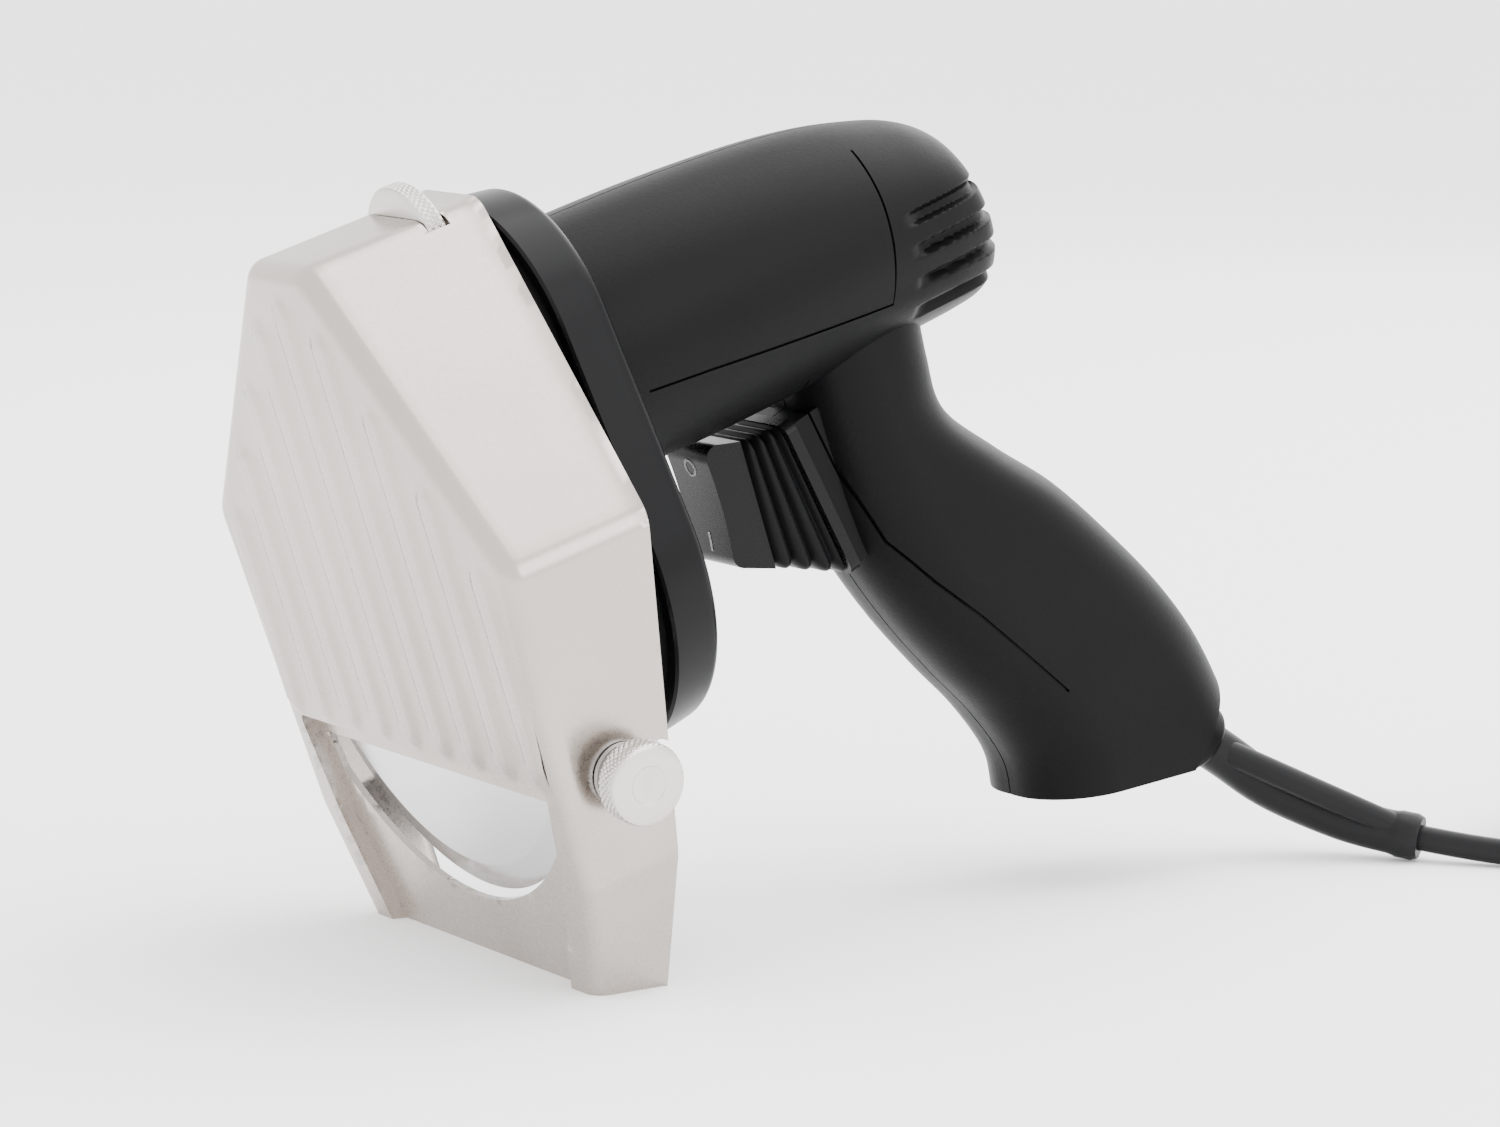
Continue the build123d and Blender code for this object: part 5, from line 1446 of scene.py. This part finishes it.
@dataclass
class SwitchUnit:
    """Rubber boot behind the rocker and the marks on the rocker's face."""

    fold_count: int = 3
    front_top: Flat = (27.45, -27.9)
    front_low: Flat = (27.45, -49.6)
    rear_top: Flat = (35.81, -27.94)
    rear_low: Flat = (41.06, -56.26)
    half: float = 6.6
    over: float = 1.55
    corner: float = 2.2
    corner_points: int = 6
    rows: int = 60
    skin: float = 1.1
    fold_end: float = 0.97
    fold_power: float = 0.7
    bend_start: Point = (0.0, 38.0, -42.0)
    bend_end: Point = (0.0, 27.6, -39.0)
    sharp: float = 60.0
    face_y: float = 19.3
    face_z: float = -36.0
    face_half: float = 11.8
    dish_depth: float = 0.8
    print_height: float = 0.12
    off_z: float = -29.2
    off_radii: Flat = (1.35, 1.75)
    off_sides: int = 40
    on_levels: Flat = (-45.4, -41.8)
    on_half: float = 0.25
    on_rows: int = 8

    def fold(self, share: float) -> float:
        """Return how far a fold stands out at a share of the way to the bezel."""
        phase = (share * (self.fold_count + 0.5)) % 1.0
        return self.over * math.sin(math.pi * phase) ** self.fold_power if share < self.fold_end else 0.0

    def boot_loop(self, share: float, over: float) -> list[Point]:
        """Return one ring of the boot."""
        top = Vector(self.front_top).lerp(Vector(self.rear_top), share)
        low = Vector(self.front_low).lerp(Vector(self.rear_low), share)
        axis = (top - low).normalized()
        middle, reach = (top + low) / 2, (top - low).length / 2 + over
        half = self.half + over
        corners = [(-half, -reach), (-half, reach), (half, reach), (half, -reach)]
        path = RoundedPath(corners, self.corner, closed=True, arc_points=self.corner_points,
                           run_points=self.corner_points)
        return [(x, middle.x + axis.x * t, middle.y + axis.y * t) for x, t in path.points()]

    def build_boot(self) -> bpy.types.Object:
        """Make the boot."""
        shares = spread(0.0, 1.0, self.rows)
        outer = [self.boot_loop(share, self.fold(share)) for share in shares]
        inner = [self.boot_loop(share, self.fold(share) - self.skin) for share in reversed(shares)]
        boot = loft("switch_boot_folds", [*outer, *inner, outer[0]])
        dress(boot, RUBBER_BOOT, Body.HOUSING, sharp=self.sharp)
        boot.parent = None
        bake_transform(boot)
        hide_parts("switch_boot")
        return boot

    def build_marks(self) -> None:
        """Make the marks for on and off, as low raised print on the rocker's face."""
        low, high = self.off_radii
        profile = ((low, 0.0), (low, -self.print_height), (high, -self.print_height), (high, 0.0))
        loops = []
        for i in range(self.off_sides):
            angle = FULL_TURN * i / self.off_sides
            loops.append([self.on_face(r * math.cos(angle), self.off_z + r * math.sin(angle), d)
                          for r, d in profile])
        dress(loft("mark_off", [*loops, loops[0]]), PRINT_WHITE, Body.ROCKER)
        half = self.on_half
        profile = ((-half, 0.0), (-half, -self.print_height), (half, -self.print_height), (half, 0.0))
        levels = spread(*self.on_levels, self.on_rows)
        loops = [[self.on_face(x, z, d) for x, d in profile] for z in levels]
        dress(loft("mark_on", loops, caps=True), PRINT_WHITE, Body.ROCKER)

    def on_face(self, x: float, z: float, rise: float) -> Point:
        """Return a point over the rocker's hollow face.

        Args:
            x: Its place across the face.
            z: Its height on the face.
            rise: Its distance from the face along Y.

        Returns:
            The point.
        """
        share = min(abs(z - self.face_z) / self.face_half, 1.0)
        return (x, self.face_y + self.dish_depth * (1 - share ** 2) + rise, z)


@dataclass
class CordExit:
    """Conical collar at the heel of the grip and the soft sleeve that guides the cord."""

    collar_radius: float = 8.4
    collar_end: float = 6.6
    collar_length: float = 10.8
    collar_round: float = 1.6
    socket_radius: float = 6.5
    socket_depth: float = 8.0
    bore: float = 2.55
    sleeve_radius: float = 4.5
    sleeve_run: float = 6.0
    sleeve_route: tuple[Point, ...] = ((2.5, 156.8, 13.9), (8.0, 164.8, 9.4), (15.8, 171.6, 6.1),
                                       (24.5, 178.6, 4.6))
    sides: int = 64
    cone_rows: int = 6
    rim_round: Flat = (0.5, 0.05)
    rim_heights: Flat = (0.4, 0.8)
    sleeve_taper: float = 0.25
    bead: float = 0.35
    bead_place: Flat = (0.93, 0.95)
    end_round: float = 0.5
    smoothness: int = 16

    def build_collar(self, place: Matrix) -> bpy.types.Object:
        """Make the collar.

        Args:
            place: The exit's place, local Z along the cord.
        """
        end = self.collar_length - self.collar_round
        slope = (self.collar_radius - self.collar_end) / self.collar_length
        steps = [(self.bore, -self.socket_depth), (self.socket_radius, -self.socket_depth),
                 (self.socket_radius, 0.0), (self.collar_radius - self.rim_round[0], 0.0),
                 (self.collar_radius - self.rim_round[1], self.rim_heights[0])]
        steps += [(self.collar_radius - slope * z, z) for z in spread(self.rim_heights[1], end, self.cone_rows)]
        for turn in round_turns():
            z = end + self.collar_round * math.sin(turn)
            steps.append((self.collar_radius - slope * z - self.collar_round * (1 - math.cos(turn)), z))
        steps += [(self.bore, self.collar_length), steps[0]]
        collar = loft("cord_collar_moulded", [ring(radius, z, self.sides) for radius, z in steps])
        return dress(collar, NYLON_BODY, Body.HOUSING, ["cord_collar"], TOOL @ place)

    def build_sleeve(self, shell: BodyShell) -> Point:
        """Make the sleeve along its own smooth line.

        Args:
            shell: Body that holds the exit.

        Returns:
            Where the cord leaves the sleeve, in millimetres in the standing frame.
        """
        to_stand = STAND.inverted() @ TOOL
        start = to_stand @ shell.exit_frame(self.collar_length).translation
        ahead = to_stand @ shell.exit_frame(self.collar_length + self.sleeve_run).translation
        line = spline("sleeve_line", [start, ahead, *[Vector(p) for p in self.sleeve_route]], self.smoothness)
        bpy.context.view_layer.update()
        plain = bpy.data.meshes.new_from_object(line.evaluated_get(bpy.context.evaluated_depsgraph_get()))
        middle = [v.co.copy() for v in plain.vertices]
        bpy.data.objects.remove(line)
        loops = []
        total = len(middle) - 1
        side = Vector((1.0, 0.0, 0.0))
        for i, point in enumerate(middle):
            run = (middle[min(i + 1, total)] - middle[max(i - 1, 0)]).normalized()
            side = (side - run * side.dot(run)).normalized()
            up = run.cross(side)
            share = i / total
            bead = self.bead * float(smooth_step(share, *self.bead_place))
            radius = self.sleeve_radius - self.sleeve_taper * share + bead
            if i == total:
                radius -= self.end_round
            loops.append([tuple(point + (side * x + up * y) * radius) for x, y, _ in ring(1.0, 0.0, self.sides)])
        first, last = loops[0], loops[-1]
        # Two rings only, so the bore runs straight from end to end while the sleeve bends round it.
        inner = [[tuple(c + (Vector(p) - c) * (self.bore / (Vector(p) - c).length)) for p in loop]
                 for c, loop in ((middle[-1], last), (middle[0], first))]
        dress(loft("cord_sleeve_soft", [*loops, *inner, first]), VINYL_CORD, Body.HOUSING, ["cord_sleeve"], STAND)
        return tuple(middle[-1])


@dataclass
class HousingScrews:
    """Cross-slot screws of the left half, set out on their axes by a node tree.

    The dressed half has no holes over them, so its skin covers all but a sliver of one head.
    """

    # Y and Z of each screw.
    places: tuple[Flat, ...] = ((65.28, -32.5), (77.76, 6.25), (54.24, -62.5), (76.8, -107.5))
    seat: float = -8.75
    head_radius: float = 2.5
    head_height: float = 1.6
    shank_radius: float = 1.25
    shank_length: float = 16.5
    head_round: float = 0.5
    tip: Flat = (0.4, 0.3)
    axis_hole: float = 0.05
    slot: Point = (1.4, 3.2, 0.6)
    sides: int = 40

    def head(self) -> bpy.types.Object:
        """Return one screw with its cross slot, its axis along X."""
        top, corner = -self.head_height, self.head_round
        profile = [(top, self.axis_hole), (top, self.head_radius - corner), (top + corner, self.head_radius),
                   (0.0, self.head_radius), (0.0, self.shank_radius), (self.shank_length, self.shank_radius),
                   (self.shank_length + self.tip[0], self.tip[1])]
        loops = [[(z, x, y) for x, y, z in ring(radius, place, self.sides)] for place, radius in profile]
        screw = loft("screw_pattern", loops, caps=True)
        depth, long_side, short_side = self.slot
        for size in ((depth, long_side, short_side), (depth, short_side, long_side)):
            carve(screw, block("slot_cutter", Matrix.Translation((top, 0.0, 0.0)), size))
        return screw

    def tree(self) -> bpy.types.NodeTree:
        """Return the node tree that sets the screw on every point."""
        tree = bpy.data.node_groups.new("screws_on_points", "GeometryNodeTree")
        face = tree.interface
        face.new_socket("Points", in_out="INPUT", socket_type="NodeSocketGeometry")
        face.new_socket("Screw", in_out="INPUT", socket_type="NodeSocketObject")
        face.new_socket("Scale", in_out="INPUT", socket_type="NodeSocketFloat").default_value = 1.0
        face.new_socket("Material", in_out="INPUT", socket_type="NodeSocketMaterial")
        face.new_socket("Screws", in_out="OUTPUT", socket_type="NodeSocketGeometry")
        inlet = add_node(tree, "NodeGroupInput")
        screw = add_node(tree, "GeometryNodeObjectInfo", {"Object": inlet.outputs["Screw"]})
        points = add_node(tree, "GeometryNodeMeshToPoints", {"Mesh": inlet.outputs["Points"]})
        copies = add_node(tree, "GeometryNodeInstanceOnPoints",
                          {"Points": points.outputs[0], "Instance": screw.outputs["Geometry"],
                           "Scale": inlet.outputs["Scale"]})
        solid = add_node(tree, "GeometryNodeRealizeInstances", {0: copies.outputs[0]})
        painted = add_node(tree, "GeometryNodeSetMaterial",
                           {"Geometry": solid.outputs[0], "Material": inlet.outputs["Material"]})
        add_node(tree, "NodeGroupOutput", {0: painted.outputs[0]})
        return tree

    def build(self) -> bpy.types.Object:
        """Make the row of screws."""
        mesh = bpy.data.meshes.new("housing_screws_set")
        mesh.from_pydata([(self.seat, y, z) for y, z in self.places], [], [])
        row = show("housing_screws_set", mesh)
        screw = self.head()
        tree = self.tree()
        setter = row.modifiers.new("screws", "NODES")
        setter.node_group = tree
        keys = {item.name: item.identifier for item in tree.interface.items_tree if item.in_out == "INPUT"}
        setter[keys["Screw"]] = screw
        setter[keys["Scale"]] = 1.0
        setter[keys["Material"]] = ZINC_STEEL.material()
        bake(row)
        bpy.data.objects.remove(screw)
        return dress(row, ZINC_STEEL, Body.HOUSING, ["housing_screws"])


@dataclass
class Blade:
    """Round knife with a ground bevel and fine rings from its grinding."""

    centre: Point = (0.0, -42.5, -35.0)

    def dress(self) -> None:
        """Give the blade's node a ground steel finish."""
        place = TOOL @ Matrix.Translation(self.centre) @ SIDEWAYS
        # Ground knife steel: fine rings round the spindle, bright and smooth.
        finish = TurnedFinish("steel_ground_knife", "#DADBDC", "#C8C9CB", 1.0, 0.2, 0.06, 0.5, 0.004, 30.0,
                              centre=tuple(place.translation), turn=tuple(place.to_euler()), ring_mm=0.6)
        paint(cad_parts["blade"], finish)


def paint(node: bpy.types.Object, finish: Finish) -> None:
    """Give a CAD node's object its finish, without touching its mesh."""
    made = finish.material()
    for place in node.material_slots:
        place.material = made
    if not node.material_slots:
        node.data.materials.append(made)


def main() -> None:
    """Build the slicer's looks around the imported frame."""
    logging.basicConfig(level=logging.INFO, format="%(message)s")
    Studio().build()
    shell = BodyShell()
    outlet = CordExit()
    sleeve_end = outlet.build_sleeve(shell)
    lead = MainsLead()
    lead.build(sleeve_end)
    lead.build_tie()
    outlet.build_collar(shell.exit_frame())
    Guard().build()
    for side in Side:
        LockKnob(side).build()
    ThicknessWheel().build()
    GearRing().build()
    shell.build()
    HousingScrews().build()
    switch = SwitchUnit()
    switch.build_boot()
    switch.build_marks()
    Blade().dress()
    for finish, names in CAD_FINISHES.items():
        for name in names:
            paint(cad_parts[name], finish)


if __name__ == "__main__":
    main()
